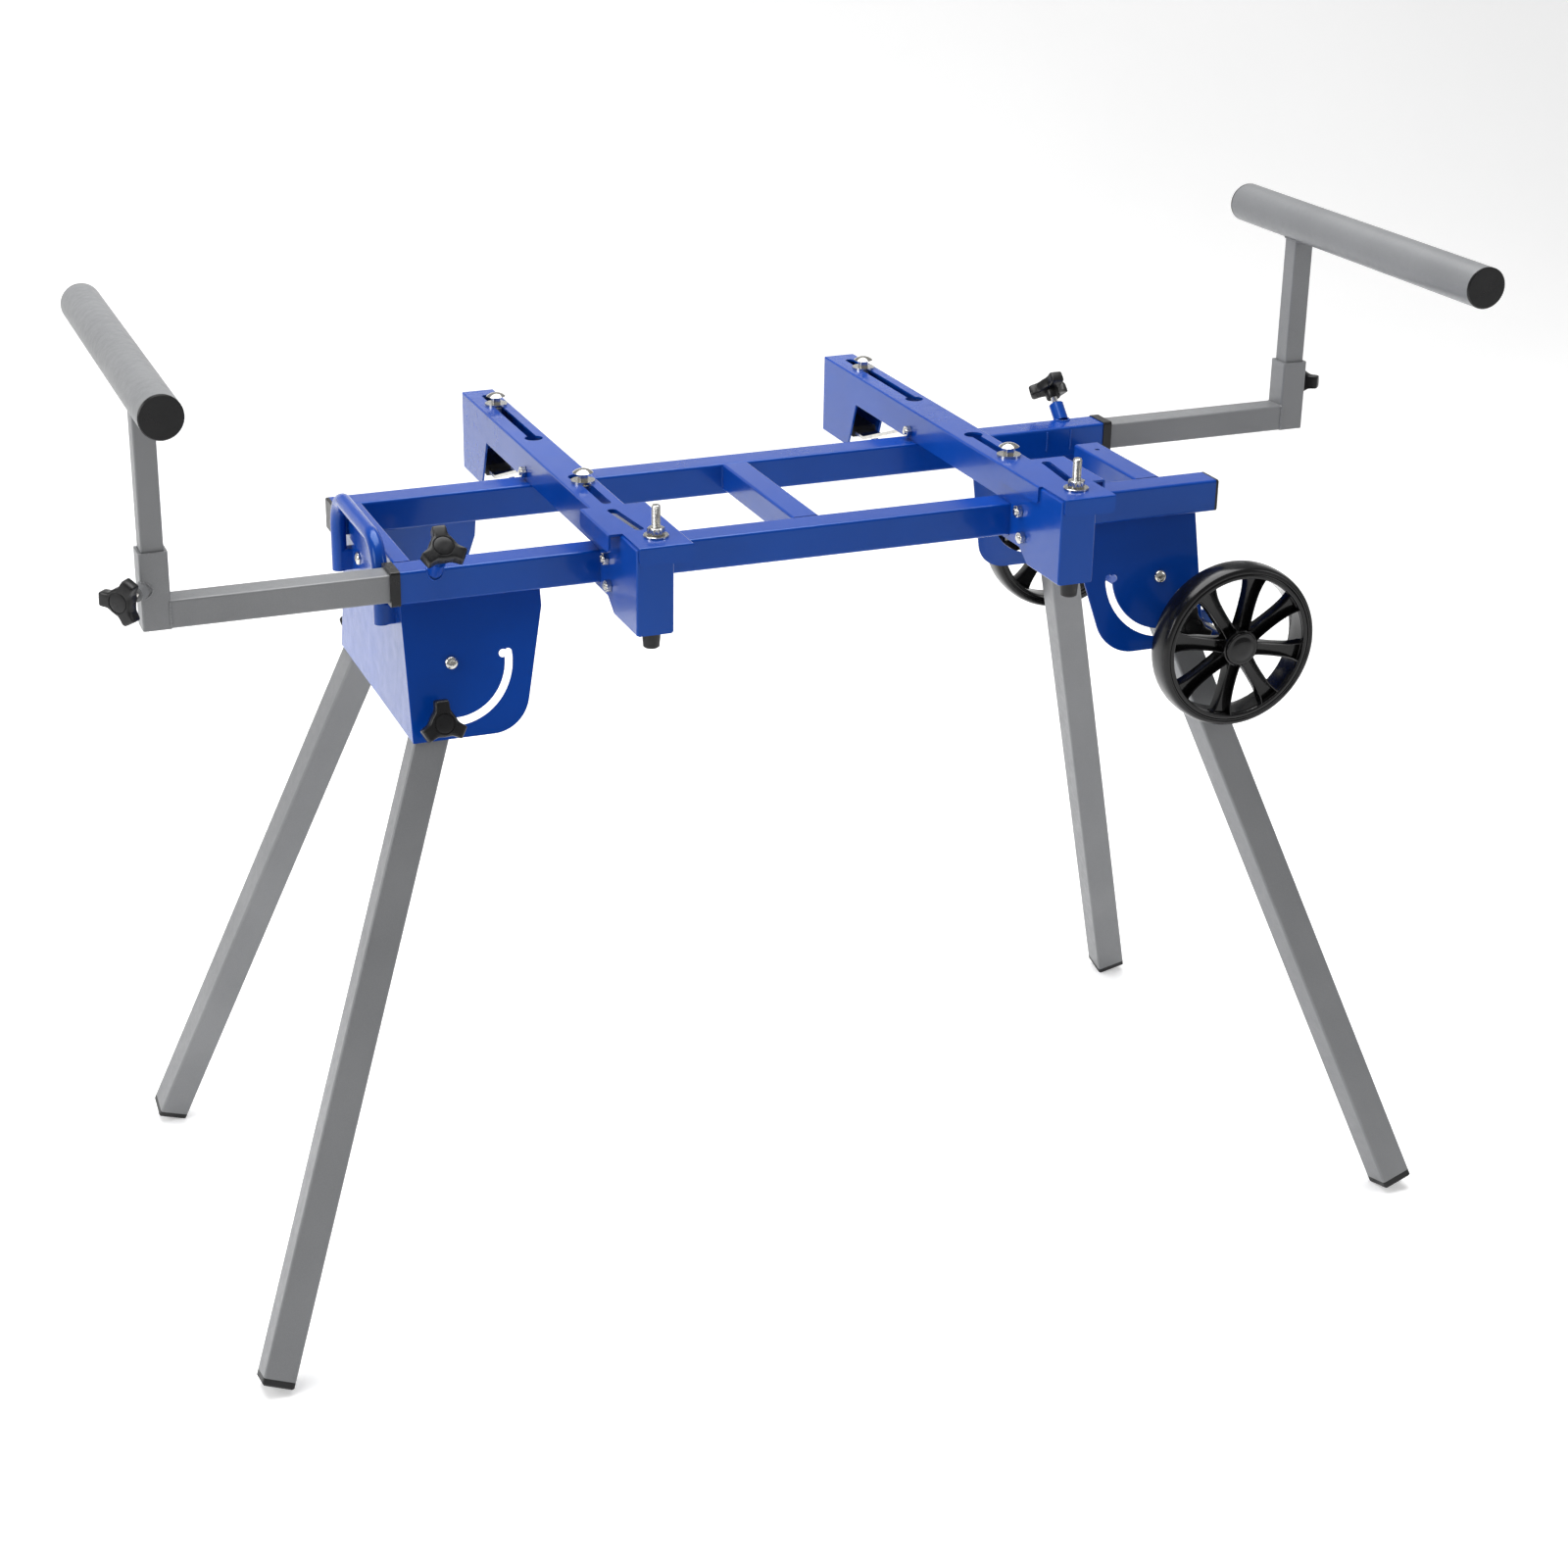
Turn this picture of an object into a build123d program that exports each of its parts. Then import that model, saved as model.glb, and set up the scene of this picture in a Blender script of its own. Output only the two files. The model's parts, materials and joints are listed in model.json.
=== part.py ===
from build123d import *
import os
from math import atan2, cos, degrees, radians, sin, sqrt, tan

# Frame: X runs along the rails, Y from the front rail to the rear rail, Z up from the floor,
# and the origin lies on the floor under the middle of the stand's outline.
# The pieces are made with Y zero midway between the rails, and save() moves them to the origin.

# Driving sizes of the main frame
RAIL_TOP = 890.0
RAIL = 38.0
RAIL_WALL = 1.5
RAIL_CORNER = 3.0
RAIL_SPREAD = 264.0
RAIL_OPEN_REACH = 491.0
RAIL_PLUG_REACH = 500.0
CROSS_TUBE = 32.0
CROSS_WALL = 2.0
CROSS_CORNER = 2.5

# Play between pieces that slide or sit in each other
SLIDE_PLAY = 0.3
SEAT_PLAY = 0.2
PIN_PLAY = 0.08
OVERRUN = 2.0

# Extension arms and their work support tubes
ARM = 32.0
ARM_WALL = 2.0
ARM_CORNER = 2.5
ARM_LENGTH = 650.0
SLEEVE_FACE = 743.0
SLEEVE = 32.0
SLEEVE_WALL = 3.0
SLEEVE_CORNER = 2.5
SLEEVE_LENGTH = 87.0
POST = 25.0
POST_WALL = 2.0
POST_CORNER = 2.0
POST_OVERLAP = 80.0
SUPPORT_TUBE_R = 24.1
SUPPORT_TUBE_WALL = 2.0
SUPPORT_TUBE_LENGTH = 519.5
SUPPORT_TUBE_RISE = 230.0
TUBE_CAP_THICK = 3.0
TUBE_CAP_DEPTH = 15.0

# Collars and plugs in the rail ends
COLLAR_LENGTH = 11.0
COLLAR_PROUD = 1.2
COLLAR_DEPTH = 30.0
PLUG_THICK = 4.0
PLUG_DEPTH = 18.0
CAP_EDGE = 1.2

# Clamping knobs: three arms round a disc, on a steel stud
KNOB_R = 27.0
KNOB_ARM = 13.0
KNOB_DISC_R = 15.5
KNOB_CAP_R = 11.0
KNOB_CAP_DEPTH = 1.0
KNOB_THICK = 14.0
KNOB_HUB_R = 9.0
KNOB_HUB_LENGTH = 10.0
KNOB_EDGE = 1.5
KNOB_FILLET = 3.0
STUD_R = 4.0
STUD_GRIP = 12.0
BOSS_R = 9.0
BOSS_LENGTH = 22.0
ARM_KNOB_X = 451.0
ARM_KNOB_FACE = 55.0
HEIGHT_KNOB_RISE = 11.0
HEIGHT_KNOB_FACE = 42.0
HEIGHT_BOSS_LENGTH = 10.0

# Leg housings: bent sheet with front and rear plates that lean outward
SHEET = 2.0
HOUSING_LEAN = 14.79
HOUSING_TOP_HALF = 129.6
HOUSING_END_X = 487.4
HOUSING_DROP = 194.0
HOUSING_BEND_R = 1.2
PLATE_TOP_X = 326.0
PLATE_STEP_DROP = 62.0
PLATE_LOW_X = 358.0
PLATE_CORNER_FILLET = 45.0
PIVOT_X = 435.4
PIVOT_DROP = 112.0
SLOT_R = 66.3
SLOT_NOTCH_R = 60.0
PLAY_IN_SLOT = 0.65
END_SCREWS = ((-48.0, 78.0), (58.0, 49.0))
END_SCREW_GRIP = 12.0
BOLT_R = 4.0
BOLT_HEAD_R = 7.5
BOLT_HEAD_THICK = 4.5
BOLT_SOCKET_R = 2.6
NUT_R = 7.5
NUT_THICK = 6.5

# Legs and feet
LEG = 38.0
LEG_WALL = 2.0
LEG_CORNER = 3.0
LEG_OVER_PIVOT = 20.0
LEG_LEAN = 19.4
SHORT_LEG_LEAN = 16.2
LEG_FOLD = 113.0
LEG_KNOB_STAND = 9.0
FOOT_DEPTH = 25.0
FOOT_THICK = 9.0
FOOT_TRIM = 2.5
FOOT_EDGE = 2.0

# Cross members and carry handle
END_MEMBER_WIDTH = 21.0
END_MEMBER_GAP = 2.0
MIDDLE_TUBE_X = -2.0
RIGHT_PIECE_X = 430.0
RIGHT_PIECE_END = 40.0
RIGHT_PIECE_HOLE_R = 3.0
RIGHT_PIECE_HOLE_Y = 12.0
HANDLE_BAR_R = 9.0
HANDLE_X = -501.0
HANDLE_HALF = 100.0
HANDLE_TOP = 19.0
HANDLE_DROP = 74.0
HANDLE_BEND_R = 38.0
HANDLE_PAD_RISE = 26.0

# Wheels
WHEEL_X = 494.0
WHEEL_DROP = 177.5
WHEEL_R = 99.0
WHEEL_FACE = 242.0
WHEEL_WIDTH = 36.0
TYRE_THICK = 9.0
TYRE_ROUND = 7.0
RIM_THICK = 6.0
WEB_THICK = 12.0
SPOKES = 8
SPOKE_ROOT = 13.0
SPOKE_TIP = 22.0
SPOKE_GROOVE = 5.0
SPOKE_GROOVE_DEPTH = 4.0
HUB_R = 22.0
HUB_PROUD = 3.0
HUB_LENGTH = 25.0
HUB_CAP_R = 19.5
HUB_CAP_THICK = 3.0
AXLE_R = 6.0
AXLE_TAB_THICK = 4.0
AXLE_TAB_Y = 148.0
AXLE_TAB_HALF = 16.0

# Saw brackets
BRACKET_X = (-240.4, 257.3)
BRACKET_WIDTH = 42.4
BRACKET_RISE = 38.0
BRACKET_SHEET = 2.5
BRACKET_REAR = 411.0
BRACKET_FRONT = 276.0
BRACKET_EDGE = 2.2
BEND_R = 2.0
DEEP_DROP = 60.0
DEEP_REAR_LOW = 326.0
DEEP_REAR_HIGH = 302.0
DEEP_FRONT_LOW = 200.0
DEEP_FRONT_STEP_Y = 177.0
HOOK_REACH = 18.0
HOOK_THICK = 6.0
SLOT_WIDTH = 11.0
SLOT_SHIFT = 3.0
KEYHOLE_R = 11.0
REAR_SLOT = (171.0, 387.0)
MIDDLE_SLOT = (-106.0, 10.0)
CAP_SHEET = 2.5
CAP_HALF = 31.0
CAP_SHIFT = 12.0
CAP_WING = 16.0
CAP_REAR = -122.0
CAP_WING_END = -222.0
CAP_LIP_DROP = 18.0
CAP_LIP_FILLET = 6.0
FRONT_SLOT = (-216.0, -134.0)
FRONT_SLOT_SHARES = (0.25, 0.5)
STUD_Y = -243.0
PAD_Y = -262.0
PAD_R = 10.5
PAD_HEIGHT = 18.0
PAD_TAPER = 1.5
SIDE_BOLT_Y = (-176.0, -186.0)
SIDE_BOLT_DROP = (1.6, 30.0)

# Bolts that hold the saw
SADDLE_R = 5.0
STUD_NECK_R = 4.8
SADDLE_HEAD_R = 12.0
SADDLE_HEAD_RISE = 4.5
SADDLE_NECK = 9.0
SADDLE_TAIL = 15.0
WASHER_R = 14.0
WASHER_THICK = 2.5
SADDLE_NUT_R = 9.8
SADDLE_NUT_THICK = 8.0
STUD_HEIGHT = 36.0
STUD_FOOT_R = 6.4
STUD_FOOT_THICK = 3.0
REAR_BOLT_Y = 338.0
MIDDLE_BOLT_Y = (-16.0, -91.0)

# Clamp levers
LEVER_PIVOT_Y = 133.0
LEVER_PIVOT_RISE = 10.5
LEVER_WIDTH = 28.0
LEVER_THICK = 4.0
LEVER_KNEE_Y = 160.0
LEVER_END_Y = 392.0
LEVER_BEND_Y = 292.0
LEVER_BEND_DROP = 42.0
GRIP_LENGTH = 70.0
GRIP_WIDTH = 33.0
GRIP_THICK = 14.0

# Sizes that follow from the driving ones
RAIL_Y = RAIL_SPREAD / 2
RAIL_MID = RAIL_TOP - RAIL / 2
RAIL_LOW = RAIL_TOP - RAIL
RAIL_BORE = RAIL - 2 * RAIL_WALL
SLEEVE_X = SLEEVE_FACE + SLEEVE / 2
SLEEVE_LOW = RAIL_MID - ARM / 2
LEVER_CAM_R = LEVER_PIVOT_RISE - SLIDE_PLAY
LEAN = radians(HOUSING_LEAN)
PIVOT_Z = RAIL_TOP - PIVOT_DROP
LEG_DEPTH = SHEET + SLIDE_PLAY + LEG / 2


def plate_half(drop):
    """Half the width between the outer faces of the leaning plates, a drop below the rail top."""
    return HOUSING_TOP_HALF + (drop - RAIL) * tan(LEAN)


def turned(shape):
    """The stand is the same seen from behind, so this makes a piece's opposite number."""
    return Rot(0, 0, 180) * shape


def flip_x(shape):
    return mirror(shape, about=Plane.YZ)


def flip_y(shape):
    return mirror(shape, about=Plane.XZ)


def flip_both(shape):
    return flip_x(flip_y(shape))


def as_made(shape):
    return shape


def save(name, *pieces):
    """Write one node, as one solid or as a group of separate solids."""
    solids = [Pos(0, -MIDDLE_Y, 0) * solid for piece in pieces for solid in piece.solids()]
    shape = solids[0] if len(solids) == 1 else Compound(children=solids)
    export_step(shape, f"parts/{name}.step")


def bar(width, height, corner, length):
    """A rectangular bar along Z from its origin."""
    return extrude(RectangleRounded(width, height, corner), length)


def hollow_bar(width, height, wall, corner, length):
    """Rectangular tube along Z from its origin."""
    bore = bar(width - 2 * wall, height - 2 * wall, max(corner - wall, wall / 2), length)
    return bar(width, height, corner, length) - bore


def rod(radius, length):
    return extrude(Circle(radius), length)


def hexagon(radius, length):
    return extrude(RegularPolygon(radius, 6), length)


def along_x(shape, x, y, z):
    """Place a piece made along Z so that it runs along +X from a point."""
    return Plane(origin=(x, y, z), x_dir=(0, 1, 0), z_dir=(1, 0, 0)).location * shape


def along_y(shape, x, y, z):
    """Place a piece made along Z so that it runs along +Y from a point."""
    return Plane(origin=(x, y, z), x_dir=(1, 0, 0), z_dir=(0, 1, 0)).location * shape


def corner_reach(width, radius):
    """Distance from a square bar's axis to its rounded corner."""
    return width / sqrt(2) - radius * (sqrt(2) - 1)


def clamp_knob(stud_length):
    """Three-armed knob on a steel stud, with the stud's tip at the origin and the knob above it."""
    profile = Sketch() + Circle(KNOB_DISC_R)
    for turn in range(3):
        arm = RectangleRounded(KNOB_R, KNOB_ARM, KNOB_FILLET)
        profile += Rot(0, 0, turn * 120) * Pos(KNOB_R / 2, 0) * arm
    grip = extrude(profile, KNOB_THICK)
    grip = chamfer(grip.faces().sort_by(Axis.Z)[-1].edges(), KNOB_EDGE)
    grip -= Pos(0, 0, KNOB_THICK - KNOB_CAP_DEPTH) * rod(KNOB_CAP_R, KNOB_CAP_DEPTH)
    knob = Pos(0, 0, stud_length) * rod(KNOB_HUB_R, KNOB_HUB_LENGTH)
    knob += Pos(0, 0, stud_length + KNOB_HUB_LENGTH) * grip
    stud = rod(STUD_R, stud_length + STUD_GRIP)
    return Compound(children=[knob - stud, stud])


def arm_lock(distance):
    """A place on the axis of the left arm's lock, which crosses the front rail's top outer corner."""
    side = distance / sqrt(2)
    origin = (-ARM_KNOB_X, -RAIL_Y - side, RAIL_MID + side)
    return Plane(origin=origin, x_dir=(1, 0, 0), z_dir=(0, -1, 1)).location


def front_rail():
    """Square tube, open at the left for its arm and drilled through a corner for the arm's lock."""
    length = RAIL_OPEN_REACH + RAIL_PLUG_REACH
    tube = hollow_bar(RAIL, RAIL, RAIL_WALL, RAIL_CORNER, length)
    return along_x(tube, -RAIL_OPEN_REACH, -RAIL_Y, RAIL_MID) - arm_lock(0) * rod(STUD_R + SEAT_PLAY, RAIL)


def arm_lock_boss():
    """Threaded boss welded on the rail's corner."""
    start = corner_reach(RAIL, RAIL_CORNER) - OVERRUN
    boss = arm_lock(start) * rod(BOSS_R, BOSS_LENGTH + OVERRUN)
    rail = along_x(bar(RAIL, RAIL, RAIL_CORNER, 2 * BOSS_R), -ARM_KNOB_X - BOSS_R, -RAIL_Y, RAIL_MID)
    return boss - rail - arm_lock(0) * rod(STUD_R + PIN_PLAY, RAIL + BOSS_LENGTH)


def arm_lock_knob():
    tip = corner_reach(ARM, ARM_CORNER) + SLIDE_PLAY
    under = RAIL / sqrt(2) + ARM_KNOB_FACE - KNOB_THICK - KNOB_HUB_LENGTH
    return arm_lock(tip) * clamp_knob(under - tip)


def arm_collar():
    """Plastic bush in the rail's open end: a flange outside and a thin sleeve inside the tube."""
    width = RAIL + 2 * COLLAR_PROUD
    bore = ARM + 2 * SLIDE_PLAY
    inner = RAIL_BORE - 2 * SEAT_PLAY
    flange = bar(width, width, RAIL_CORNER, COLLAR_LENGTH)
    collar = flange + Pos(0, 0, COLLAR_LENGTH) * bar(inner, inner, RAIL_WALL, COLLAR_DEPTH)
    collar -= bar(bore, bore, ARM_CORNER, COLLAR_LENGTH + COLLAR_DEPTH)
    return along_x(collar, -RAIL_OPEN_REACH - COLLAR_LENGTH, -RAIL_Y, RAIL_MID)


def rail_plug():
    """Plastic plug in the rail's other end."""
    inner = RAIL_BORE - 2 * SEAT_PLAY
    head = chamfer(bar(RAIL, RAIL, RAIL_CORNER, PLUG_THICK).faces().sort_by(Axis.Z)[-1].edges(), CAP_EDGE)
    plug = Pos(0, 0, PLUG_DEPTH) * head + bar(inner, inner, RAIL_WALL, PLUG_DEPTH)
    return along_x(plug, RAIL_PLUG_REACH - PLUG_DEPTH, -RAIL_Y, RAIL_MID)


def left_extension_arm():
    tube = hollow_bar(ARM, ARM, ARM_WALL, ARM_CORNER, ARM_LENGTH)
    return along_x(tube, -SLEEVE_FACE, -RAIL_Y, RAIL_MID)


def height_lock(distance):
    """A place on the axis of the left height lock, which crosses the sleeve's outer corner."""
    side = distance / sqrt(2)
    origin = (-SLEEVE_X - side, -RAIL_Y - side, RAIL_TOP + HEIGHT_KNOB_RISE)
    return Plane(origin=origin, x_dir=(0, 0, 1), z_dir=(-1, -1, 0)).location


def left_arm_sleeve():
    """Upright tube at the end of the arm, which guides the post."""
    tube = hollow_bar(SLEEVE, SLEEVE, SLEEVE_WALL, SLEEVE_CORNER, SLEEVE_LENGTH)
    sleeve = Pos(-SLEEVE_X, -RAIL_Y, SLEEVE_LOW) * tube
    return sleeve - height_lock(0) * rod(STUD_R + SEAT_PLAY, SLEEVE)


def height_boss():
    start = corner_reach(SLEEVE, SLEEVE_CORNER) - OVERRUN
    boss = height_lock(start) * rod(BOSS_R, HEIGHT_BOSS_LENGTH + OVERRUN)
    sleeve = Pos(-SLEEVE_X, -RAIL_Y, SLEEVE_LOW) * bar(SLEEVE, SLEEVE, SLEEVE_CORNER, SLEEVE_LENGTH)
    return boss - sleeve - height_lock(0) * rod(STUD_R + PIN_PLAY, SLEEVE + HEIGHT_BOSS_LENGTH)


def height_lock_knob():
    tip = corner_reach(POST, POST_CORNER) + SLIDE_PLAY
    under = SLEEVE / sqrt(2) + HEIGHT_KNOB_FACE - KNOB_THICK - KNOB_HUB_LENGTH
    return height_lock(tip) * clamp_knob(under - tip)


def support_tube_shape(radius, length):
    return along_y(rod(radius, length), -SLEEVE_X, -length / 2, RAIL_TOP + SUPPORT_TUBE_RISE)


def left_support_post():
    """Square tube that slides in the sleeve and carries the support tube."""
    low = SLEEVE_LOW + SLEEVE_LENGTH - POST_OVERLAP
    tube = hollow_bar(POST, POST, POST_WALL, POST_CORNER, RAIL_TOP + SUPPORT_TUBE_RISE - low)
    post = Pos(-SLEEVE_X, -RAIL_Y, low) * tube
    return post - support_tube_shape(SUPPORT_TUBE_R, SUPPORT_TUBE_LENGTH)


def left_support_tube():
    bore_r = SUPPORT_TUBE_R - SUPPORT_TUBE_WALL
    outer = support_tube_shape(SUPPORT_TUBE_R, SUPPORT_TUBE_LENGTH)
    return outer - support_tube_shape(bore_r, SUPPORT_TUBE_LENGTH)


def tube_cap():
    """Plug in the front end of the left support tube, with its domed head outside."""
    head = chamfer(rod(SUPPORT_TUBE_R, TUBE_CAP_THICK).faces().sort_by(Axis.Z)[0].edges(), CAP_EDGE)
    body_r = SUPPORT_TUBE_R - SUPPORT_TUBE_WALL - SEAT_PLAY
    cap = head + Pos(0, 0, TUBE_CAP_THICK) * rod(body_r, TUBE_CAP_DEPTH)
    start = -SUPPORT_TUBE_LENGTH / 2 - TUBE_CAP_THICK
    return along_y(cap, -SLEEVE_X, start, RAIL_TOP + SUPPORT_TUBE_RISE)


def cross_bar(width, height, wall, start, end, x):
    """Rectangular tube between the rails with its top flush with them."""
    corner = CROSS_CORNER
    tube = hollow_bar(width, height, wall, corner, end - start)
    return along_y(tube, x, start, RAIL_TOP - height / 2)


def left_cross_member():
    reach = RAIL_Y - RAIL / 2
    x = -HOUSING_END_X - END_MEMBER_GAP + END_MEMBER_WIDTH / 2
    return cross_bar(END_MEMBER_WIDTH, RAIL, CROSS_WALL, -reach, reach, x)


def middle_cross_tube():
    reach = RAIL_Y - RAIL / 2
    return cross_bar(CROSS_TUBE, CROSS_TUBE, CROSS_WALL, -reach, reach, MIDDLE_TUBE_X)


def right_cross_piece():
    """Short tube that stands out from the front rail's inner face."""
    start = RAIL / 2 - RAIL_Y
    tube = cross_bar(CROSS_TUBE, CROSS_TUBE, CROSS_WALL, start, RIGHT_PIECE_END, RIGHT_PIECE_X)
    hole = rod(RIGHT_PIECE_HOLE_R, CROSS_TUBE)
    return tube - Pos(RIGHT_PIECE_X, RIGHT_PIECE_HOLE_Y, RAIL_TOP - CROSS_TUBE) * hole


def carry_handle():
    """Round bar bent to a U, upside down, with flat pads that screw to the end plate."""
    low = RAIL_TOP - HANDLE_DROP
    high = RAIL_TOP + HANDLE_TOP
    points = [(HANDLE_X, y, z) for y, z in
              ((-HANDLE_HALF, low), (-HANDLE_HALF, high), (HANDLE_HALF, high), (HANDLE_HALF, low))]
    path = FilletPolyline(*points, radius=HANDLE_BEND_R)
    handle = sweep(Plane(origin=points[0], z_dir=(0, 0, 1)) * Circle(HANDLE_BAR_R), path=path)
    depth = -HOUSING_END_X - HANDLE_X
    for side in (-1, 1):
        pad = extrude(RectangleRounded(2 * HANDLE_BAR_R, HANDLE_PAD_RISE, KNOB_FILLET), depth)
        handle += along_x(pad, HANDLE_X, side * HANDLE_HALF, low + HANDLE_PAD_RISE / 2)
    return handle


def plate_plane(depth=0):
    """Plane of the right front plate at the pivot: X outward, Y up the plate, Z out of its face."""
    normal = Vector(0, -cos(LEAN), sin(LEAN))
    origin = Vector(PIVOT_X, -plate_half(PIVOT_DROP), PIVOT_Z) - normal * depth
    return Plane(origin=origin, x_dir=(1, 0, 0), z_dir=normal)


def plate_point(x, drop):
    """A point of the plate's outline, from its place along the rails and its drop below their top."""
    return (x - PIVOT_X, (PIVOT_DROP - drop) / cos(LEAN))


def leaning_plate():
    """Front plate of the right housing, with its pivot hole and the arc slot of the leg's lock."""
    corner = plate_point(PLATE_LOW_X, HOUSING_DROP)
    outline = Polyline(plate_point(HOUSING_END_X, RAIL), plate_point(PLATE_TOP_X, RAIL),
                       plate_point(PLATE_TOP_X, PLATE_STEP_DROP), corner,
                       plate_point(HOUSING_END_X, HOUSING_DROP), close=True)
    face = make_face(outline)
    face = fillet(face.vertices().sort_by_distance(corner)[0], PLATE_CORNER_FILLET)
    start = LEG_LEAN - 90
    arc = CenterArc((0, 0), SLOT_R, start, -LEG_FOLD)
    slot = SlotArc(arc, 2 * (BOLT_R + PLAY_IN_SLOT))
    angle = radians(start - LEG_FOLD)
    notch_centre = Pos(SLOT_NOTCH_R * cos(angle), SLOT_NOTCH_R * sin(angle))
    notch = notch_centre * Circle(BOLT_R + PLAY_IN_SLOT)
    face = face - slot - notch - Circle(BOLT_R + SEAT_PLAY)
    return extrude(plate_plane() * face, -SHEET)


def end_plate():
    """End plate of the right housing, a trapezoid between the two leaning plates."""
    top = plate_half(RAIL)
    low = plate_half(HOUSING_DROP)
    low_z = RAIL_TOP - HOUSING_DROP
    points = ((-top, RAIL_LOW), (top, RAIL_LOW), (low, low_z), (-low, low_z))
    face = make_face(Polyline(*points, close=True))
    plane = Plane(origin=(HOUSING_END_X, 0, 0), x_dir=(0, 1, 0), z_dir=(1, 0, 0))
    return extrude(plane * face, -SHEET)


def leg_housing():
    """Bent sheet under the right end of the rails."""
    plate = leaning_plate()
    housing = end_plate() + plate + flip_y(plate)
    middle = (HOUSING_DROP + RAIL) / 2
    for side in (-1, 1):
        bend = (HOUSING_END_X, side * plate_half(middle), RAIL_TOP - middle)
        housing = fillet(housing.edges().sort_by_distance(bend)[0], HOUSING_BEND_R)
    for y, drop in END_SCREWS:
        housing -= along_x(rod(BOLT_R, 2 * SHEET), HOUSING_END_X - SHEET - SHEET / 2, y, RAIL_TOP - drop)
    return housing


def axle_tab(side):
    """Flat tab outside the right end plate, with the hole for the axle."""
    reach = WHEEL_X + AXLE_TAB_HALF - HOUSING_END_X
    z = RAIL_TOP - WHEEL_DROP
    profile = Pos(reach / 2 - AXLE_TAB_HALF, 0) * Rectangle(reach, 2 * AXLE_TAB_HALF)
    profile = fillet(profile.vertices().sort_by(Axis.X)[-2:], AXLE_TAB_HALF - SHEET)
    profile -= Pos(reach - 2 * AXLE_TAB_HALF, 0) * Circle(AXLE_R + SEAT_PLAY)
    tab = extrude(profile, AXLE_TAB_THICK)
    x = HOUSING_END_X + AXLE_TAB_HALF
    return along_y(tab, x, side * AXLE_TAB_Y - AXLE_TAB_THICK / 2, z)


def left_leg_housing():
    return flip_x(leg_housing())


def right_leg_housing():
    return leg_housing() + axle_tab(-1) + axle_tab(1)


def leg_frame(lean):
    """Frame of the right front leg: origin at the pivot, Z down the leg, X out of the plate."""
    angle = radians(lean)
    down = Vector(sin(angle), -cos(angle) * sin(LEAN), -cos(angle) * cos(LEAN))
    return Plane(origin=plate_plane(LEG_DEPTH).origin, x_dir=plate_plane().z_dir, z_dir=down)


def leg_length(lean):
    """Length from the pivot to the tube's end, which puts the foot's lowest corner on the floor."""
    frame = leg_frame(lean)
    corner_drop = LEG / 2 * (abs(frame.x_dir.Z) + abs(frame.y_dir.Z))
    reach = (frame.origin.Z + FOOT_TRIM - corner_drop) / abs(frame.z_dir.Z)
    return reach - FOOT_THICK


def leg_hole(distance):
    """Bore through both walls of the leg, in the leg's frame."""
    return along_x(rod(BOLT_R + PIN_PLAY, 2 * LEG), -LEG, 0, distance)


def leg(lean):
    """Square tube of one leg, with the nut of its lock welded inside the stand."""
    tube = hollow_bar(LEG, LEG, LEG_WALL, LEG_CORNER, leg_length(lean) + LEG_OVER_PIVOT)
    tube = Pos(0, 0, -LEG_OVER_PIVOT) * tube - leg_hole(0) - leg_hole(SLOT_R)
    nut = along_x(hexagon(NUT_R, NUT_THICK), -LEG / 2 - NUT_THICK, 0, SLOT_R) - leg_hole(SLOT_R)
    return leg_frame(lean).location * Compound(children=[tube, nut])


def foot(lean):
    """Plastic plug in the leg's end, its head flush with the tube and cut flat on the floor."""
    length = leg_length(lean)
    inner = LEG - 2 * LEG_WALL - 2 * SEAT_PLAY
    head = bar(LEG, LEG, LEG_CORNER, FOOT_THICK)
    head = chamfer(head.faces().sort_by(Axis.Z)[-1].edges(), FOOT_EDGE)
    plug = Pos(0, 0, length) * head
    plug += Pos(0, 0, length - FOOT_DEPTH) * bar(inner, inner, LEG_CORNER - LEG_WALL, FOOT_DEPTH)
    floor = Box(RAIL_TOP, RAIL_TOP, RAIL_TOP, align=(Align.CENTER, Align.CENTER, Align.MAX))
    return leg_frame(lean).location * plug - Pos(PIVOT_X, -RAIL_Y, 0) * floor


def leg_lock_knob(lean):
    """Knob outside the plate, on a stud through the arc slot and the leg."""
    tip = -LEG / 2 - NUT_THICK
    under = LEG / 2 + SLIDE_PLAY + SHEET + LEG_KNOB_STAND
    knob = along_x(clamp_knob(under - tip), tip, 0, SLOT_R)
    return leg_frame(lean).location * knob


def leg_pivot_bolt():
    """Button head bolt through the plate and the right front leg, with its nut inside the stand."""
    length = SHEET + 2 * SLIDE_PLAY + LEG + NUT_THICK
    head = chamfer(rod(BOLT_HEAD_R, BOLT_HEAD_THICK).faces().sort_by(Axis.Z)[-1].edges(), KNOB_EDGE)
    head -= Pos(0, 0, BOLT_HEAD_THICK / 2) * hexagon(BOLT_SOCKET_R, BOLT_HEAD_THICK / 2)
    bolt = head + Pos(0, 0, -length) * rod(BOLT_R, length)
    nut = Pos(0, 0, -length) * (hexagon(NUT_R, NUT_THICK) - rod(BOLT_R, NUT_THICK))
    return plate_plane().location * Compound(children=[bolt, nut])


def round_screw(radius, thick, grip):
    """Screw head with its shank, pointing along +Z."""
    head = chamfer(rod(radius, thick).faces().sort_by(Axis.Z)[-1].edges(), CAP_EDGE)
    return head + Pos(0, 0, -grip) * rod(BOLT_R - SEAT_PLAY, grip)


def end_plate_screw(y, drop):
    """Screw in the right end plate."""
    screw = round_screw(BOLT_HEAD_R, BOLT_HEAD_THICK, END_SCREW_GRIP)
    return along_x(screw, HOUSING_END_X, y, RAIL_TOP - drop)


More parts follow.
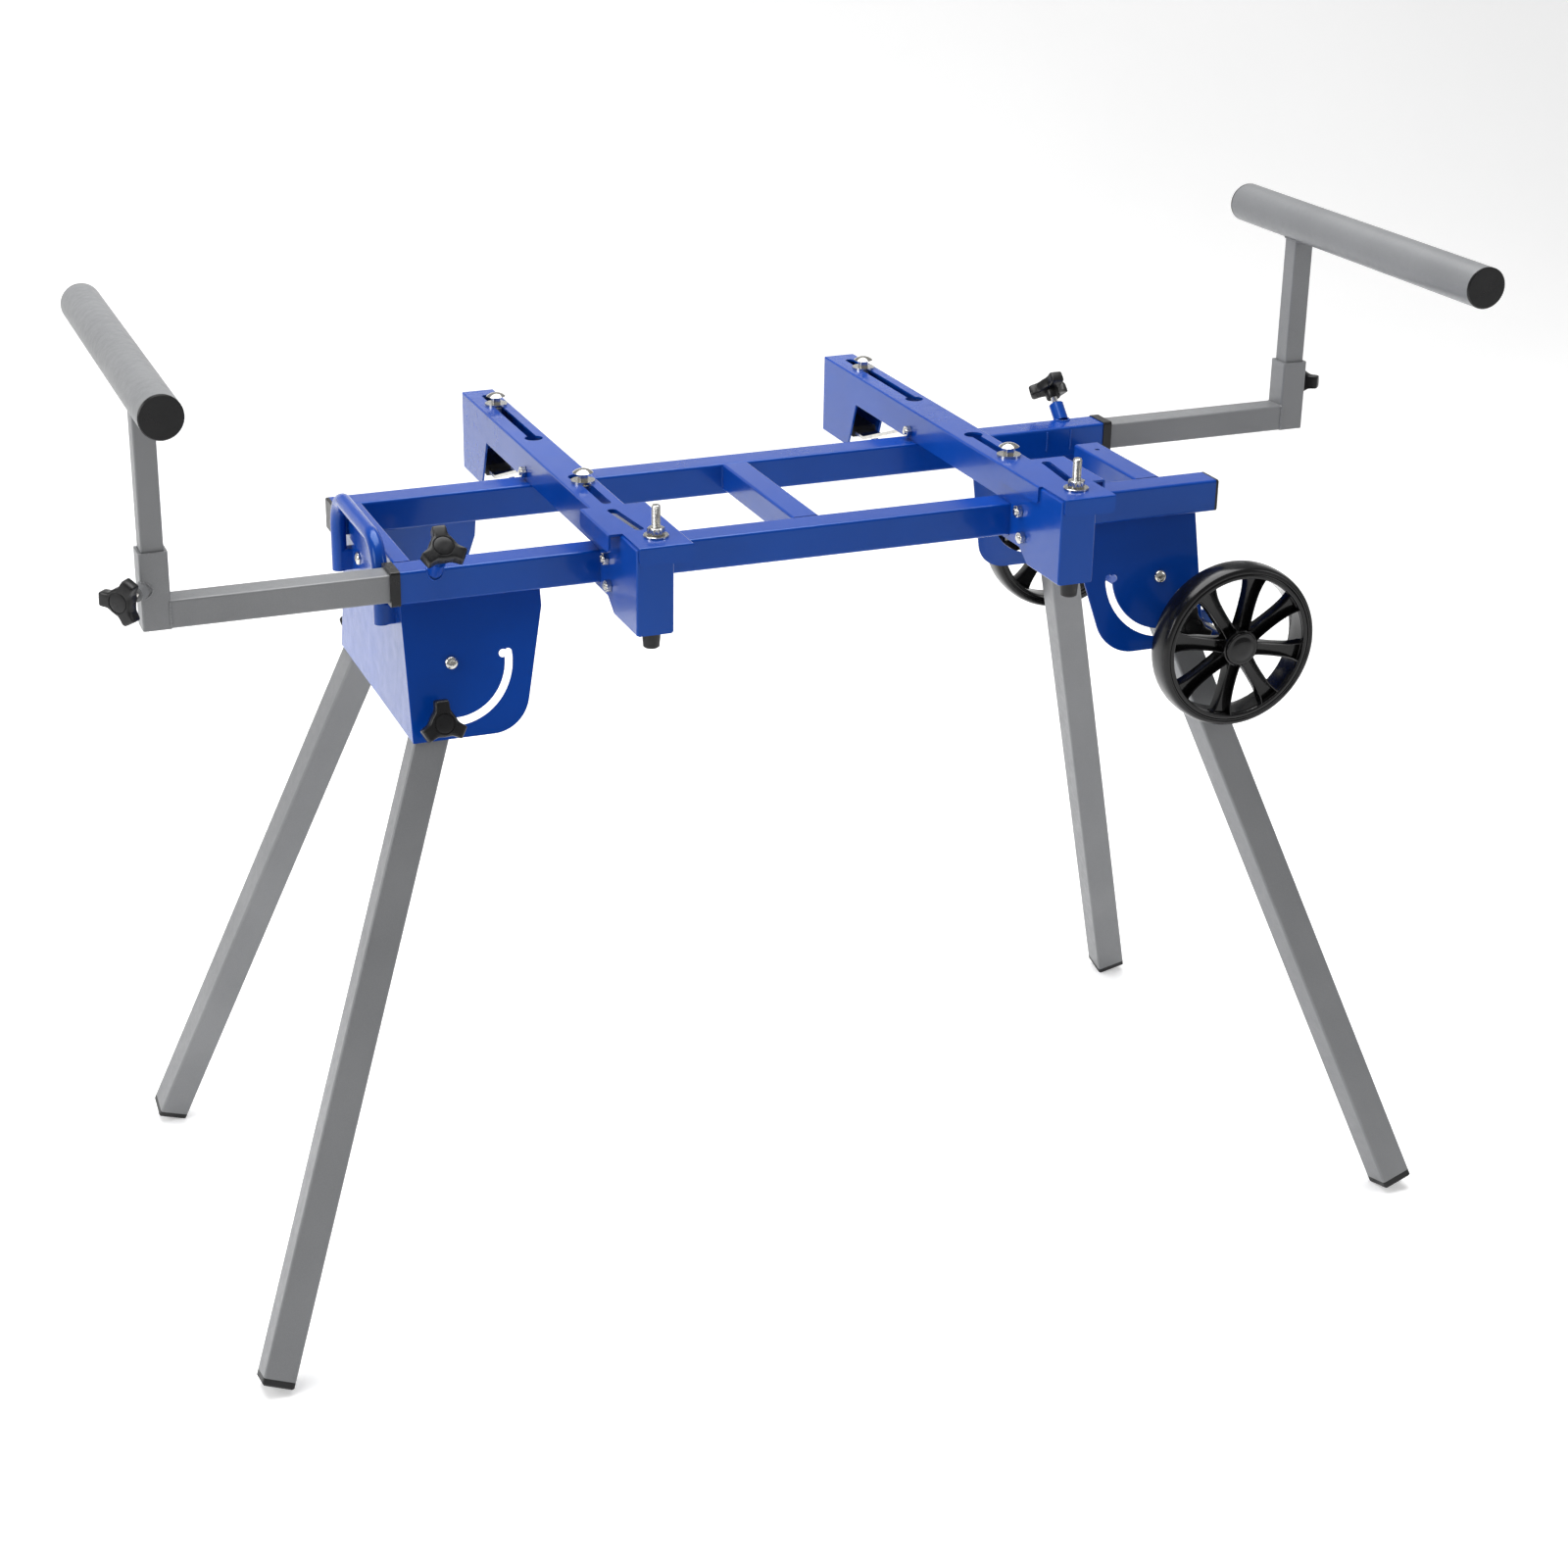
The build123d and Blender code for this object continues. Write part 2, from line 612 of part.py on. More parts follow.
def wheel():
    """Front wheel without its tyre: rim, eight grooved spokes and hub, from its outer face inward."""
    rim_r = WHEEL_R - TYRE_THICK
    rim = rod(rim_r, WHEEL_WIDTH) - rod(rim_r - RIM_THICK, WHEEL_WIDTH)
    hub = Pos(0, 0, -HUB_PROUD) * rod(HUB_R, HUB_LENGTH)
    reach = rim_r - RIM_THICK / 2
    spoke = make_face(Polyline((0, -SPOKE_ROOT / 2), (reach, -SPOKE_TIP / 2), (reach, SPOKE_TIP / 2),
                               (0, SPOKE_ROOT / 2), close=True))
    groove = RectangleRounded(reach - 2 * HUB_R, SPOKE_GROOVE, SPOKE_GROOVE / 3)
    groove = Pos(reach / 2 + HUB_R / 2, 0) * groove
    web = extrude(spoke, WEB_THICK) - extrude(groove, SPOKE_GROOVE_DEPTH)
    body = rim + hub
    for turn in range(SPOKES):
        body += Rot(0, 0, turn * 360 / SPOKES) * web
    body -= Pos(0, 0, -HUB_PROUD) * rod(AXLE_R + PIN_PLAY, HUB_LENGTH)
    cap = chamfer(rod(HUB_CAP_R, HUB_CAP_THICK).faces().sort_by(Axis.Z)[0].edges(), CAP_EDGE)
    cap = Pos(0, 0, -HUB_PROUD - HUB_CAP_THICK) * cap
    return along_y(Compound(children=[body, cap]), WHEEL_X, -WHEEL_FACE, RAIL_TOP - WHEEL_DROP)


def tyre():
    ring = rod(WHEEL_R, WHEEL_WIDTH)
    ring = fillet(ring.edges(), TYRE_ROUND) - rod(WHEEL_R - TYRE_THICK, WHEEL_WIDTH)
    return along_y(ring, WHEEL_X, -WHEEL_FACE, RAIL_TOP - WHEEL_DROP)


def wheel_axle():
    length = 2 * (WHEEL_FACE + HUB_PROUD - SLIDE_PLAY)
    return along_y(rod(AXLE_R, length), WHEEL_X, -length / 2, RAIL_TOP - WHEEL_DROP)


def side_face(points):
    """A face in the plane across the stand, from points given as Y and height above the rail top."""
    return Plane.YZ * make_face(Polyline(*[(y, RAIL_TOP + rise) for y, rise in points], close=True))


def slot_face(start, end):
    """Slot between two points of a bracket's top."""
    length = sqrt((end[0] - start[0]) ** 2 + (end[1] - start[1]) ** 2)
    middle = ((start[0] + end[0]) / 2, (start[1] + end[1]) / 2)
    turn = degrees(atan2(end[1] - start[1], end[0] - start[0]))
    return Pos(*middle) * Rot(0, 0, turn) * SlotOverall(length, SLOT_WIDTH)


def slanted_slot(hand):
    """The front slot of the cap plate, which runs towards the stud as it comes forward."""
    rear, front = (CAP_SHIFT + hand * CAP_HALF * share for share in reversed(FRONT_SLOT_SHARES))
    return slot_face((rear, FRONT_SLOT[1]), (front, FRONT_SLOT[0]))


def top_cut(face):
    """A cut straight down through the top of a bracket and its cap plate."""
    low = RAIL_TOP + BRACKET_RISE - BRACKET_SHEET - OVERRUN
    return Pos(0, 0, low) * extrude(face, BRACKET_SHEET + CAP_SHEET + 2 * OVERRUN)


def bracket_plate(y_start, y_end, rise_start, rise_end):
    """A wall of the bracket's channel across its whole width."""
    width = BRACKET_WIDTH - 2 * BRACKET_SHEET
    middle = ((y_start + y_end) / 2, RAIL_TOP + (rise_start + rise_end) / 2)
    return Pos(0, *middle) * Box(width, y_end - y_start, rise_end - rise_start)


def bracket_channel(hand):
    """Bent channel that sits on both rails, deep at its two ends, with hooks under the front rail."""
    rail_face = -RAIL_Y - RAIL / 2
    under = -RAIL - SLIDE_PLAY
    outline = ((BRACKET_REAR, BRACKET_RISE), (BRACKET_REAR, -DEEP_DROP), (DEEP_REAR_LOW, -DEEP_DROP),
               (DEEP_REAR_HIGH, SLIDE_PLAY), (rail_face - SLIDE_PLAY, SLIDE_PLAY),
               (rail_face - SLIDE_PLAY, under), (rail_face + HOOK_REACH, under),
               (rail_face + HOOK_REACH, under - HOOK_THICK), (-DEEP_FRONT_STEP_Y, under - HOOK_THICK),
               (-DEEP_FRONT_LOW, -DEEP_DROP), (-BRACKET_FRONT, -DEEP_DROP), (-BRACKET_FRONT, BRACKET_RISE))
    flange = extrude(side_face(outline), BRACKET_SHEET)
    low_corner = (0, -BRACKET_FRONT, RAIL_TOP - DEEP_DROP)
    flange = fillet(flange.edges().filter_by(Axis.X).sort_by_distance(low_corner)[0], BRACKET_EDGE)
    half = BRACKET_WIDTH / 2
    channel = Pos(-half, 0, 0) * flange + Pos(half - BRACKET_SHEET, 0, 0) * flange
    channel += bracket_plate(-BRACKET_FRONT, BRACKET_REAR, BRACKET_RISE - BRACKET_SHEET, BRACKET_RISE)
    channel += bracket_plate(BRACKET_REAR - BRACKET_SHEET, BRACKET_REAR, -DEEP_DROP, BRACKET_RISE)
    channel += bracket_plate(-BRACKET_FRONT, BRACKET_SHEET - BRACKET_FRONT, -DEEP_DROP, BRACKET_RISE)
    channel += bracket_plate(-BRACKET_FRONT, -DEEP_FRONT_LOW, -DEEP_DROP, BRACKET_SHEET - DEEP_DROP)
    outer = channel.edges().filter_by(lambda edge: abs(abs(edge.center().X) - half) < SEAT_PLAY)
    bends = outer.filter_by(Axis.Y).group_by(Axis.Z)[-1]
    for end in (-BRACKET_FRONT, BRACKET_REAR):
        bends += outer.filter_by(Axis.Z).filter_by(lambda edge: abs(edge.center().Y - end) < SEAT_PLAY)
    channel = fillet(bends, BEND_R)
    channel -= top_cut(slot_face((SLOT_SHIFT, REAR_SLOT[0]), (SLOT_SHIFT, REAR_SLOT[1])))
    channel -= top_cut(slot_face((SLOT_SHIFT, MIDDLE_SLOT[0]), (SLOT_SHIFT, MIDDLE_SLOT[1])))
    for y in (REAR_SLOT[0] + SLOT_WIDTH / 2, MIDDLE_SLOT[1] - SLOT_WIDTH / 2):
        channel -= top_cut(Pos(SLOT_SHIFT, y) * Circle(KEYHOLE_R))
    stud_hole = Pos(CAP_SHIFT, STUD_Y) * Circle(SADDLE_R + SEAT_PLAY)
    channel -= top_cut(slanted_slot(hand)) + top_cut(stud_hole)
    for y, drop in side_bolt_places():
        channel -= along_x(rod(BOLT_R + SEAT_PLAY, 2 * BRACKET_WIDTH), -BRACKET_WIDTH, y, RAIL_TOP - drop)
    return channel


def side_bolt_places():
    """The two bolts in front of the front rail and the pivot of the clamp lever, as Y and drop."""
    return (*zip(SIDE_BOLT_Y, SIDE_BOLT_DROP), (LEVER_PIVOT_Y, -LEVER_PIVOT_RISE))


def cap_box(x_start, x_end, y_start, y_end, drop):
    """A block of the cap plate that hangs down from its top."""
    high = RAIL_TOP + BRACKET_RISE + CAP_SHEET
    middle = ((x_start + x_end) / 2, (y_start + y_end) / 2, high - drop / 2)
    return Pos(*middle) * Box(x_end - x_start, y_end - y_start, drop)


def cap_plate(hand):
    """Plate on the front of a bracket, with a wing on one side and lips that hang down."""
    front_edges = (CAP_SHIFT - CAP_HALF, CAP_SHIFT + CAP_HALF)
    tight = -BRACKET_WIDTH / 2 - SEAT_PLAY - CAP_SHEET
    low = front_edges[0] - CAP_WING if hand < 0 else tight
    high = front_edges[1] if hand < 0 else front_edges[1] + CAP_WING
    front = -BRACKET_FRONT - SEAT_PLAY
    cap = cap_box(low, high, CAP_WING_END, CAP_REAR, CAP_SHEET)
    cap += cap_box(*front_edges, front, CAP_WING_END, CAP_SHEET)
    lip_drop = CAP_LIP_DROP + CAP_SHEET
    front_lip = cap_box(*front_edges, front - CAP_SHEET, front, lip_drop)
    front_lip = fillet(front_lip.edges().filter_by(Axis.Y).sort_by(Axis.Z)[:2], CAP_LIP_FILLET)
    cap += front_lip
    for start in (low, high - CAP_SHEET):
        lip = cap_box(start, start + CAP_SHEET, CAP_WING_END, CAP_REAR, lip_drop)
        cap += fillet(lip.edges().filter_by(Axis.X).sort_by(Axis.Z)[:2], CAP_LIP_FILLET)
    top_edges = cap.edges().group_by(Axis.Z)[-1]
    sides = [edge for edge in top_edges.filter_by(Axis.Y)
             if min(abs(edge.center().X - low), abs(edge.center().X - high)) < SEAT_PLAY]
    cap = fillet([*sides, top_edges.filter_by(Axis.X).sort_by(Axis.Y)[0]], BEND_R)
    stud_hole = Pos(CAP_SHIFT, STUD_Y) * Circle(SADDLE_R + SEAT_PLAY)
    return cap - top_cut(slanted_slot(hand)) - top_cut(stud_hole)


def rubber_pad():
    """Tapered rubber buffer under the front of a bracket."""
    pad = Solid.make_cone(PAD_R - PAD_TAPER, PAD_R, PAD_HEIGHT)
    pad = chamfer(pad.edges().sort_by(Axis.Z)[0], CAP_EDGE)
    return Pos(0, PAD_Y, RAIL_TOP - DEEP_DROP - PAD_HEIGHT) * pad


def hex_nut(bolt_r, nut_r, thick):
    nut = hexagon(nut_r, thick)
    return chamfer(nut.faces().sort_by(Axis.Z)[-1].edges(), CAP_EDGE / 2) - rod(bolt_r, thick)


def bracket_bolts():
    """The bolts across the bracket with their nuts, and its front stud with nut and washer."""
    pieces = []
    half = BRACKET_WIDTH / 2
    for y, drop in side_bolt_places():
        head = rod(BOLT_HEAD_R, BOLT_HEAD_THICK)
        head = chamfer(head.faces().sort_by(Axis.Z)[-1].edges(), KNOB_EDGE)
        shank = BRACKET_WIDTH + NUT_THICK + OVERRUN
        bolt = head + Pos(0, 0, -shank) * rod(BOLT_R, shank)
        pieces.append(along_x(bolt, half, y, RAIL_TOP - drop))
        nut = Plane(origin=(-half, y, RAIL_TOP - drop), x_dir=(0, 1, 0), z_dir=(-1, 0, 0)).location
        pieces.append(nut * hex_nut(BOLT_R, NUT_R, NUT_THICK))
    top = RAIL_TOP + BRACKET_RISE + CAP_SHEET
    under = top - CAP_SHEET - BRACKET_SHEET
    neck = top + WASHER_THICK + SADDLE_NUT_THICK - under
    stud = Pos(0, 0, neck) * rod(SADDLE_R, STUD_HEIGHT + top - under - neck)
    stud = chamfer(stud.edges().sort_by(Axis.Z)[-1], CAP_EDGE) + rod(STUD_NECK_R, neck)
    stud += Pos(0, 0, -STUD_FOOT_THICK) * rod(STUD_FOOT_R, STUD_FOOT_THICK)
    pieces.append(Pos(CAP_SHIFT, STUD_Y, under) * stud)
    washer = rod(WASHER_R, WASHER_THICK) - rod(SADDLE_R, WASHER_THICK)
    pieces.append(Pos(CAP_SHIFT, STUD_Y, top) * washer)
    nut = hex_nut(STUD_NECK_R, SADDLE_NUT_R, SADDLE_NUT_THICK)
    pieces.append(Pos(CAP_SHIFT, STUD_Y, top + WASHER_THICK) * nut)
    return Compound(children=pieces)


def saddle_bolt(y):
    """Round-headed bolt in a slot, head up, with its washer on the bracket and its nut under it."""
    top = RAIL_TOP + BRACKET_RISE
    under = top - BRACKET_SHEET
    neck = top + WASHER_THICK + SADDLE_NECK
    shank = Pos(0, 0, under - SADDLE_TAIL) * rod(SADDLE_R, neck - under + SADDLE_TAIL)
    shank += Pos(0, 0, top + WASHER_THICK) * bar(2 * SADDLE_R, 2 * SADDLE_R, CAP_EDGE, SADDLE_NECK)
    ball_r = (SADDLE_HEAD_R ** 2 + SADDLE_HEAD_RISE ** 2) / (2 * SADDLE_HEAD_RISE)
    dome = Pos(0, 0, SADDLE_HEAD_RISE - ball_r) * Sphere(ball_r) & rod(SADDLE_HEAD_R, SADDLE_HEAD_RISE)
    bolt = shank + Pos(0, 0, neck) * dome
    washer = Pos(0, 0, top) * (rod(WASHER_R, WASHER_THICK) - rod(SADDLE_R, WASHER_THICK))
    nut = Pos(0, 0, under - SADDLE_NUT_THICK) * hex_nut(SADDLE_R, SADDLE_NUT_R, SADDLE_NUT_THICK)
    return Pos(SLOT_SHIFT, y, 0) * Compound(children=[bolt, washer, nut])


def clamp_lever():
    """Cam on the pivot bolt, with a bent strip that runs back inside the channel."""
    pivot = (LEVER_PIVOT_Y, RAIL_TOP + LEVER_PIVOT_RISE)
    low = RAIL_TOP - LEVER_BEND_DROP
    knee = (LEVER_KNEE_Y, RAIL_TOP + LEVER_PIVOT_RISE / 2)
    path = Polyline(pivot, knee, (LEVER_BEND_Y, low), (LEVER_END_Y, low))
    strip = extrude(Plane.YZ * trace(path, LEVER_THICK), LEVER_WIDTH / 2, both=True)
    cam = along_x(rod(LEVER_CAM_R, LEVER_WIDTH), -LEVER_WIDTH / 2, *pivot)
    bore = along_x(rod(BOLT_R + PIN_PLAY, LEVER_WIDTH), -LEVER_WIDTH / 2, *pivot)
    return cam + strip - bore


def lever_grip():
    """Plastic grip on the rear end of the lever's strip."""
    middle = (0, LEVER_END_Y - GRIP_LENGTH / 2 + OVERRUN, RAIL_TOP - LEVER_BEND_DROP)
    grip = Box(GRIP_WIDTH, GRIP_LENGTH, GRIP_THICK)
    grip = Pos(*middle) * fillet(grip.edges().filter_by(Axis.Y), KNOB_FILLET)
    return grip - clamp_lever()


def write_nodes():
    """Write every node of the stand."""
    os.makedirs("parts", exist_ok=True)
    save("front_rail", front_rail())
    save("rear_rail", turned(front_rail()))
    save("left_cross_member", left_cross_member())
    save("cross_tubes", middle_cross_tube(), right_cross_piece())
    save("carry_handle", carry_handle())
    save("rail_end_plugs", rail_plug(), turned(rail_plug()))
    save("arm_collars", arm_collar(), turned(arm_collar()))
    save("arm_lock_bosses", arm_lock_boss(), turned(arm_lock_boss()))
    save("left_leg_housing", left_leg_housing())
    save("right_leg_housing", right_leg_housing())
    save("wheel_axle", wheel_axle())
    pivot = leg_pivot_bolt()
    screws = [end_plate_screw(y, drop) for y, drop in END_SCREWS]
    save("chassis_bolts", pivot, flip_y(pivot), flip_x(pivot), flip_both(pivot),
         *screws, *[flip_x(screw) for screw in screws])
    for name, place, lean in (("right_front", as_made, LEG_LEAN), ("right_rear", flip_y, SHORT_LEG_LEAN),
                              ("left_front", flip_x, LEG_LEAN), ("left_rear", flip_both, LEG_LEAN)):
        save(f"{name}_leg", place(leg(lean)))
        save(f"{name}_foot", place(foot(lean)))
        save(f"{name}_leg_knob", place(leg_lock_knob(lean)))
    for name, place in (("left", as_made), ("right", turned)):
        save(f"{name}_extension_arm", place(left_extension_arm()))
        save(f"{name}_arm_sleeve", place(left_arm_sleeve()))
        save(f"{name}_height_boss", place(height_boss()))
        save(f"{name}_support_post", place(left_support_post()))
        save(f"{name}_support_tube", place(left_support_tube()))
        save(f"{name}_tube_caps", place(tube_cap()), place(flip_y(tube_cap())))
        save(f"{name}_arm_knob", place(arm_lock_knob()))
        save(f"{name}_height_knob", place(height_lock_knob()))
    for name, place in (("front", as_made), ("rear", flip_y)):
        save(f"{name}_wheel", place(wheel()))
        save(f"{name}_tyre", place(tyre()))
    for name, hand, x, middle_y in zip(("left", "right"), (-1, 1), BRACKET_X, MIDDLE_BOLT_Y):
        place = Pos(x, 0, 0)
        save(f"{name}_saw_bracket", place * bracket_channel(hand))
        save(f"{name}_bracket_cap", place * cap_plate(hand))
        save(f"{name}_bracket_pad", place * rubber_pad())
        save(f"{name}_bracket_bolts", place * bracket_bolts())
        save(f"{name}_rear_saddle_bolt", place * saddle_bolt(REAR_BOLT_Y))
        save(f"{name}_middle_saddle_bolt", place * saddle_bolt(middle_y))
        save(f"{name}_clamp_lever", place * clamp_lever())
        save(f"{name}_lever_grip", place * lever_grip())


MIDDLE_Y = (BRACKET_REAR + foot(LEG_LEAN).bounding_box().min.Y) / 2
write_nodes()
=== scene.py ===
# %% [markdown]
# A stand for a miter saw is a welded steel frame with a few moulded and plated pieces on it.
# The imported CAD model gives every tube, plate and bolt its exact place. This lesson keeps those
# solids where their shape is right, gives each one a finish, and makes the moulded and threaded
# pieces again as finer surfaces in the same places.

# %% Load the frame
import json
import bpy
import numpy as np
from mathutils import Matrix, Vector


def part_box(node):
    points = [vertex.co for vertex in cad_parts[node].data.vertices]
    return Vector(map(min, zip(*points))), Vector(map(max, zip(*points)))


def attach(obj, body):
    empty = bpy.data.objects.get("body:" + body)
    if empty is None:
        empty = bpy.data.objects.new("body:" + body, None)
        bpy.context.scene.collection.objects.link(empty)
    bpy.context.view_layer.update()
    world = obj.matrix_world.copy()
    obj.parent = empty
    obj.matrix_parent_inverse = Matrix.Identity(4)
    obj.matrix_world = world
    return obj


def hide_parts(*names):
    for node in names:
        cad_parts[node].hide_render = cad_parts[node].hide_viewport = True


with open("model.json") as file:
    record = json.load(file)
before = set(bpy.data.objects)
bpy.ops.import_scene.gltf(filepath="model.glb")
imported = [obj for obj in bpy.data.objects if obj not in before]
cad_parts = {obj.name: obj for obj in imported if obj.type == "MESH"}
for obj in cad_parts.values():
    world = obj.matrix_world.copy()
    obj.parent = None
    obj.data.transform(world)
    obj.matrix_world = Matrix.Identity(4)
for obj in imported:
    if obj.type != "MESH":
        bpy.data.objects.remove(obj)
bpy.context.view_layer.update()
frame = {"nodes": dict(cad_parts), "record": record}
MIDDLE_Y = (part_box("front_rail")[0][1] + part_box("rear_rail")[1][1]) / 2

# %% [markdown]
# Every new piece is a grid of points: one parameter runs along the piece and the other round it.
# A grid keeps the maths in whole arrays, and a closed one can be turned outward by the sign of
# its volume, which saves checking each shape by eye. The pieces are described with Y zero midway
# between the rails, where the stand is symmetric, and moved to the model's own origin at the end.

# %% Turn grids into pieces
TAU = 2 * np.pi


def grid_shell(points, wrap_rows=False, wrap_columns=True):
    """Quads between neighbouring grid points, and a fan over each open end. Outward by volume.

    The volume is a sixth of the sum over triangles of the triple product of their corners.
    """
    rows, columns = points.shape[:2]
    index = np.arange(rows * columns).reshape(rows, columns)
    down = np.roll(index, -1, 0) if wrap_rows else index[1:]
    here = index if wrap_rows else index[:-1]
    if not wrap_columns:
        down_next, here_next = down[:, 1:], here[:, 1:]
        down, here = down[:, :-1], here[:, :-1]
    else:
        down_next, here_next = np.roll(down, -1, 1), np.roll(here, -1, 1)
    quads = np.stack([here, here_next, down_next, down], -1).reshape(-1, 4)
    verts = points.reshape(-1, 3)
    triangles = [quads[:, [0, 1, 2]], quads[:, [0, 2, 3]]]
    if not wrap_rows and wrap_columns:
        middles = np.array([points[0].mean(0), points[-1].mean(0)])
        verts = np.concatenate([verts, middles])
        for ring, middle, order in ((index[0], len(verts) - 2, 1), (index[-1], len(verts) - 1, -1)):
            fan = np.stack([np.full(columns, middle), np.roll(ring, -1), ring], -1)
            triangles.append(fan[:, ::order])
    triangles = np.concatenate(triangles)
    a, b, c = (verts[triangles[:, corner]] for corner in range(3))
    if np.einsum("ij,ij->", a, np.cross(b, c)) < 0:
        triangles = triangles[:, ::-1]
    return verts, triangles


def make_piece(name, shells, body, finish, corner=35):
    """One mesh from several shells, smooth except where two faces meet at more than corner degrees."""
    verts, triangles, start = [], [], 0
    for shell_verts, shell_triangles in shells:
        verts.append(shell_verts)
        triangles.append(shell_triangles + start)
        start += len(shell_verts)
    verts, triangles = np.concatenate(verts) + (0, MIDDLE_Y, 0), np.concatenate(triangles)
    mesh = bpy.data.meshes.new(name)
    mesh.from_pydata(verts, [], triangles)
    mesh.update()
    mesh.polygons.foreach_set("use_smooth", np.ones(len(mesh.polygons), dtype=bool))
    mesh.set_sharp_from_angle(angle=np.radians(corner))
    mesh.materials.append(finish)
    piece = bpy.data.objects.new(name, mesh)
    bpy.context.scene.collection.objects.link(piece)
    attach(piece, body)
    return piece


class Place:
    """A local frame: across is its first axis, side its second and out its third."""

    def __init__(self, origin, out, across):
        self.origin = np.array(origin, float)
        self.out = np.array(out, float) / np.linalg.norm(out)
        across = np.array(across, float) - np.dot(across, self.out) * self.out
        self.across = across / np.linalg.norm(across)
        self.side = np.cross(self.out, self.across)

    def points(self, x, y, z):
        """Origin plus x along across, y along side and z along out."""
        x, y, z = np.broadcast_arrays(x, y, z)
        return (self.origin + x[..., None] * self.across + y[..., None] * self.side
                + z[..., None] * self.out)


def turned_shell(place, profile, steps=64, wrap=False):
    """Carries a profile of (radius, height) pairs once round the frame's out axis."""
    profile = np.array(profile, float)
    angle = np.linspace(0, TAU, steps, endpoint=False)
    radius, height = profile[:, :1], profile[:, 1:]
    return grid_shell(place.points(radius * np.cos(angle), radius * np.sin(angle), height), wrap)


def arc(centre, radius, start, end, steps=6):
    """Points of a fillet: centre plus radius times the cosine and sine of an even sweep, in degrees."""
    sweep = np.radians(np.linspace(start, end, steps))
    return [(centre[0] + radius * np.cos(t), centre[1] + radius * np.sin(t)) for t in sweep]


print("grid helpers ready")

# %% [markdown]
# Finishes are node trees. A small class marks the values that change over a surface, so that one
# method can make any node: it links those values and sets the others. Each finish is then a few
# calls that read in the order in which a painter would think of them.

# %% Make shader nodes with one method


class Mask:
    """A value that changes over a surface, held as the socket that gives it."""

    def __init__(self, socket):
        self.socket = socket


class Finish:
    """A material with its Principled shader, and one method that makes nodes."""

    def __init__(self, name):
        self.material = bpy.data.materials.new(name)
        self.material.use_nodes = True
        self.tree = self.material.node_tree
        self.shader = self.tree.nodes["Principled BSDF"]
        self.place = self.node("ShaderNodeTexCoord", {}, {}, "Object")

    def node(self, kind, settings, inputs, output=0):
        """Adds a node, sets its options, and links or sets each input."""
        made = self.tree.nodes.new(kind)
        for key, value in settings.items():
            setattr(made, key, value)
        for key, value in inputs.items():
            if isinstance(value, Mask):
                self.tree.links.new(value.socket, made.inputs[key])
            else:
                made.inputs[key].default_value = value
        return Mask(made.outputs[output])

    def speckle(self, scale, detail=3.0, rough=0.55):
        """Noise with a mean near a half. Scale is in lumps to the metre."""
        return self.node("ShaderNodeTexNoise", {}, {"Vector": self.place, "Scale": scale,
                                                    "Detail": detail, "Roughness": rough})

    def band(self, mask, low, high, to_low=0.0, to_high=1.0):
        """Maps a range of the mask to another range, held at its ends."""
        return self.node("ShaderNodeMapRange", {"clamp": True},
                         {"Value": mask, 1: low, 2: high, 3: to_low, 4: to_high})

    def blend(self, mask, first, second):
        """Colour that goes from first to second as the mask goes from nought to one."""
        return self.node("ShaderNodeMix", {"data_type": "RGBA"},
                         {0: mask, 6: first, 7: second}, 2)

    def bump(self, height, depth, strength):
        """Tilts the normal as if the surface rose by the height times the depth, in metres."""
        return self.node("ShaderNodeBump", {}, {"Height": height, "Distance": depth,
                                                "Strength": strength})

    def feed(self, **sockets):
        """Links or sets the shader's own inputs, and gives the finished material."""
        for key, value in sockets.items():
            socket = self.shader.inputs[key.replace("_", " ")]
            if isinstance(value, Mask):
                self.tree.links.new(value.socket, socket)
            else:
                socket.default_value = value
        return self.material


print("shader helpers ready")

# %% [markdown]
# The chassis has a gloss powder coat in royal blue. Powder melts into a skin that is smooth but
# not flat: shallow orange-peel ripples a few millimetres across, so reflections waver. A clear
# coat over a rougher base gives that depth, and the ripples go into the normal.

# %% Blue powder coat


def rgb(red, green, blue):
    """A colour in linear light, opaque."""
    return (red, green, blue, 1.0)


def blue_powder_coat():
    """Gloss coat: cloudy blue, fine paler dust, orange-peel ripples and a thin clear layer."""
    finish = Finish("blue_powder_coat")
    cloud = finish.band(finish.speckle(7, 2), 0.35, 0.65)
    colour = finish.blend(cloud, rgb(0.0009, 0.038, 0.262), rgb(0.0013, 0.045, 0.298))
    dust = finish.band(finish.speckle(520, 5, 0.7), 0.68, 0.82, 0.0, 0.25)
    colour = finish.blend(dust, colour, rgb(0.006, 0.065, 0.35))
    rough = finish.band(finish.speckle(60, 4), 0.3, 0.7, 0.18, 0.27)
    peel = finish.bump(finish.speckle(150, 2, 0.4), 0.00016, 0.35)
    return finish.feed(Base_Color=colour, Roughness=rough, Normal=peel, Coat_Weight=0.20,
                       Coat_Roughness=0.08, Specular_IOR_Level=0.38,
                       Specular_Tint=rgb(0.32, 0.62, 1.0))


def grey_powder_coat():
    """Satin coat: fine texture, a slight metallic speckle and no clear layer."""
    finish = Finish("grey_powder_coat")
    cloud = finish.band(finish.speckle(7, 2), 0.35, 0.65)
    colour = finish.blend(cloud, rgb(0.160, 0.164, 0.170), rgb(0.182, 0.186, 0.192))
    grain = finish.band(finish.speckle(1900, 2, 0.6), 0.45, 0.75, 0.0, 0.45)
    colour = finish.blend(grain, colour, rgb(0.26, 0.265, 0.27))
    rough = finish.band(finish.speckle(110, 4), 0.3, 0.7, 0.36, 0.48)
    skin = finish.bump(finish.speckle(900, 2, 0.5), 0.00008, 0.5)
    return finish.feed(Base_Color=colour, Roughness=rough, Normal=skin, Metallic=0.15)


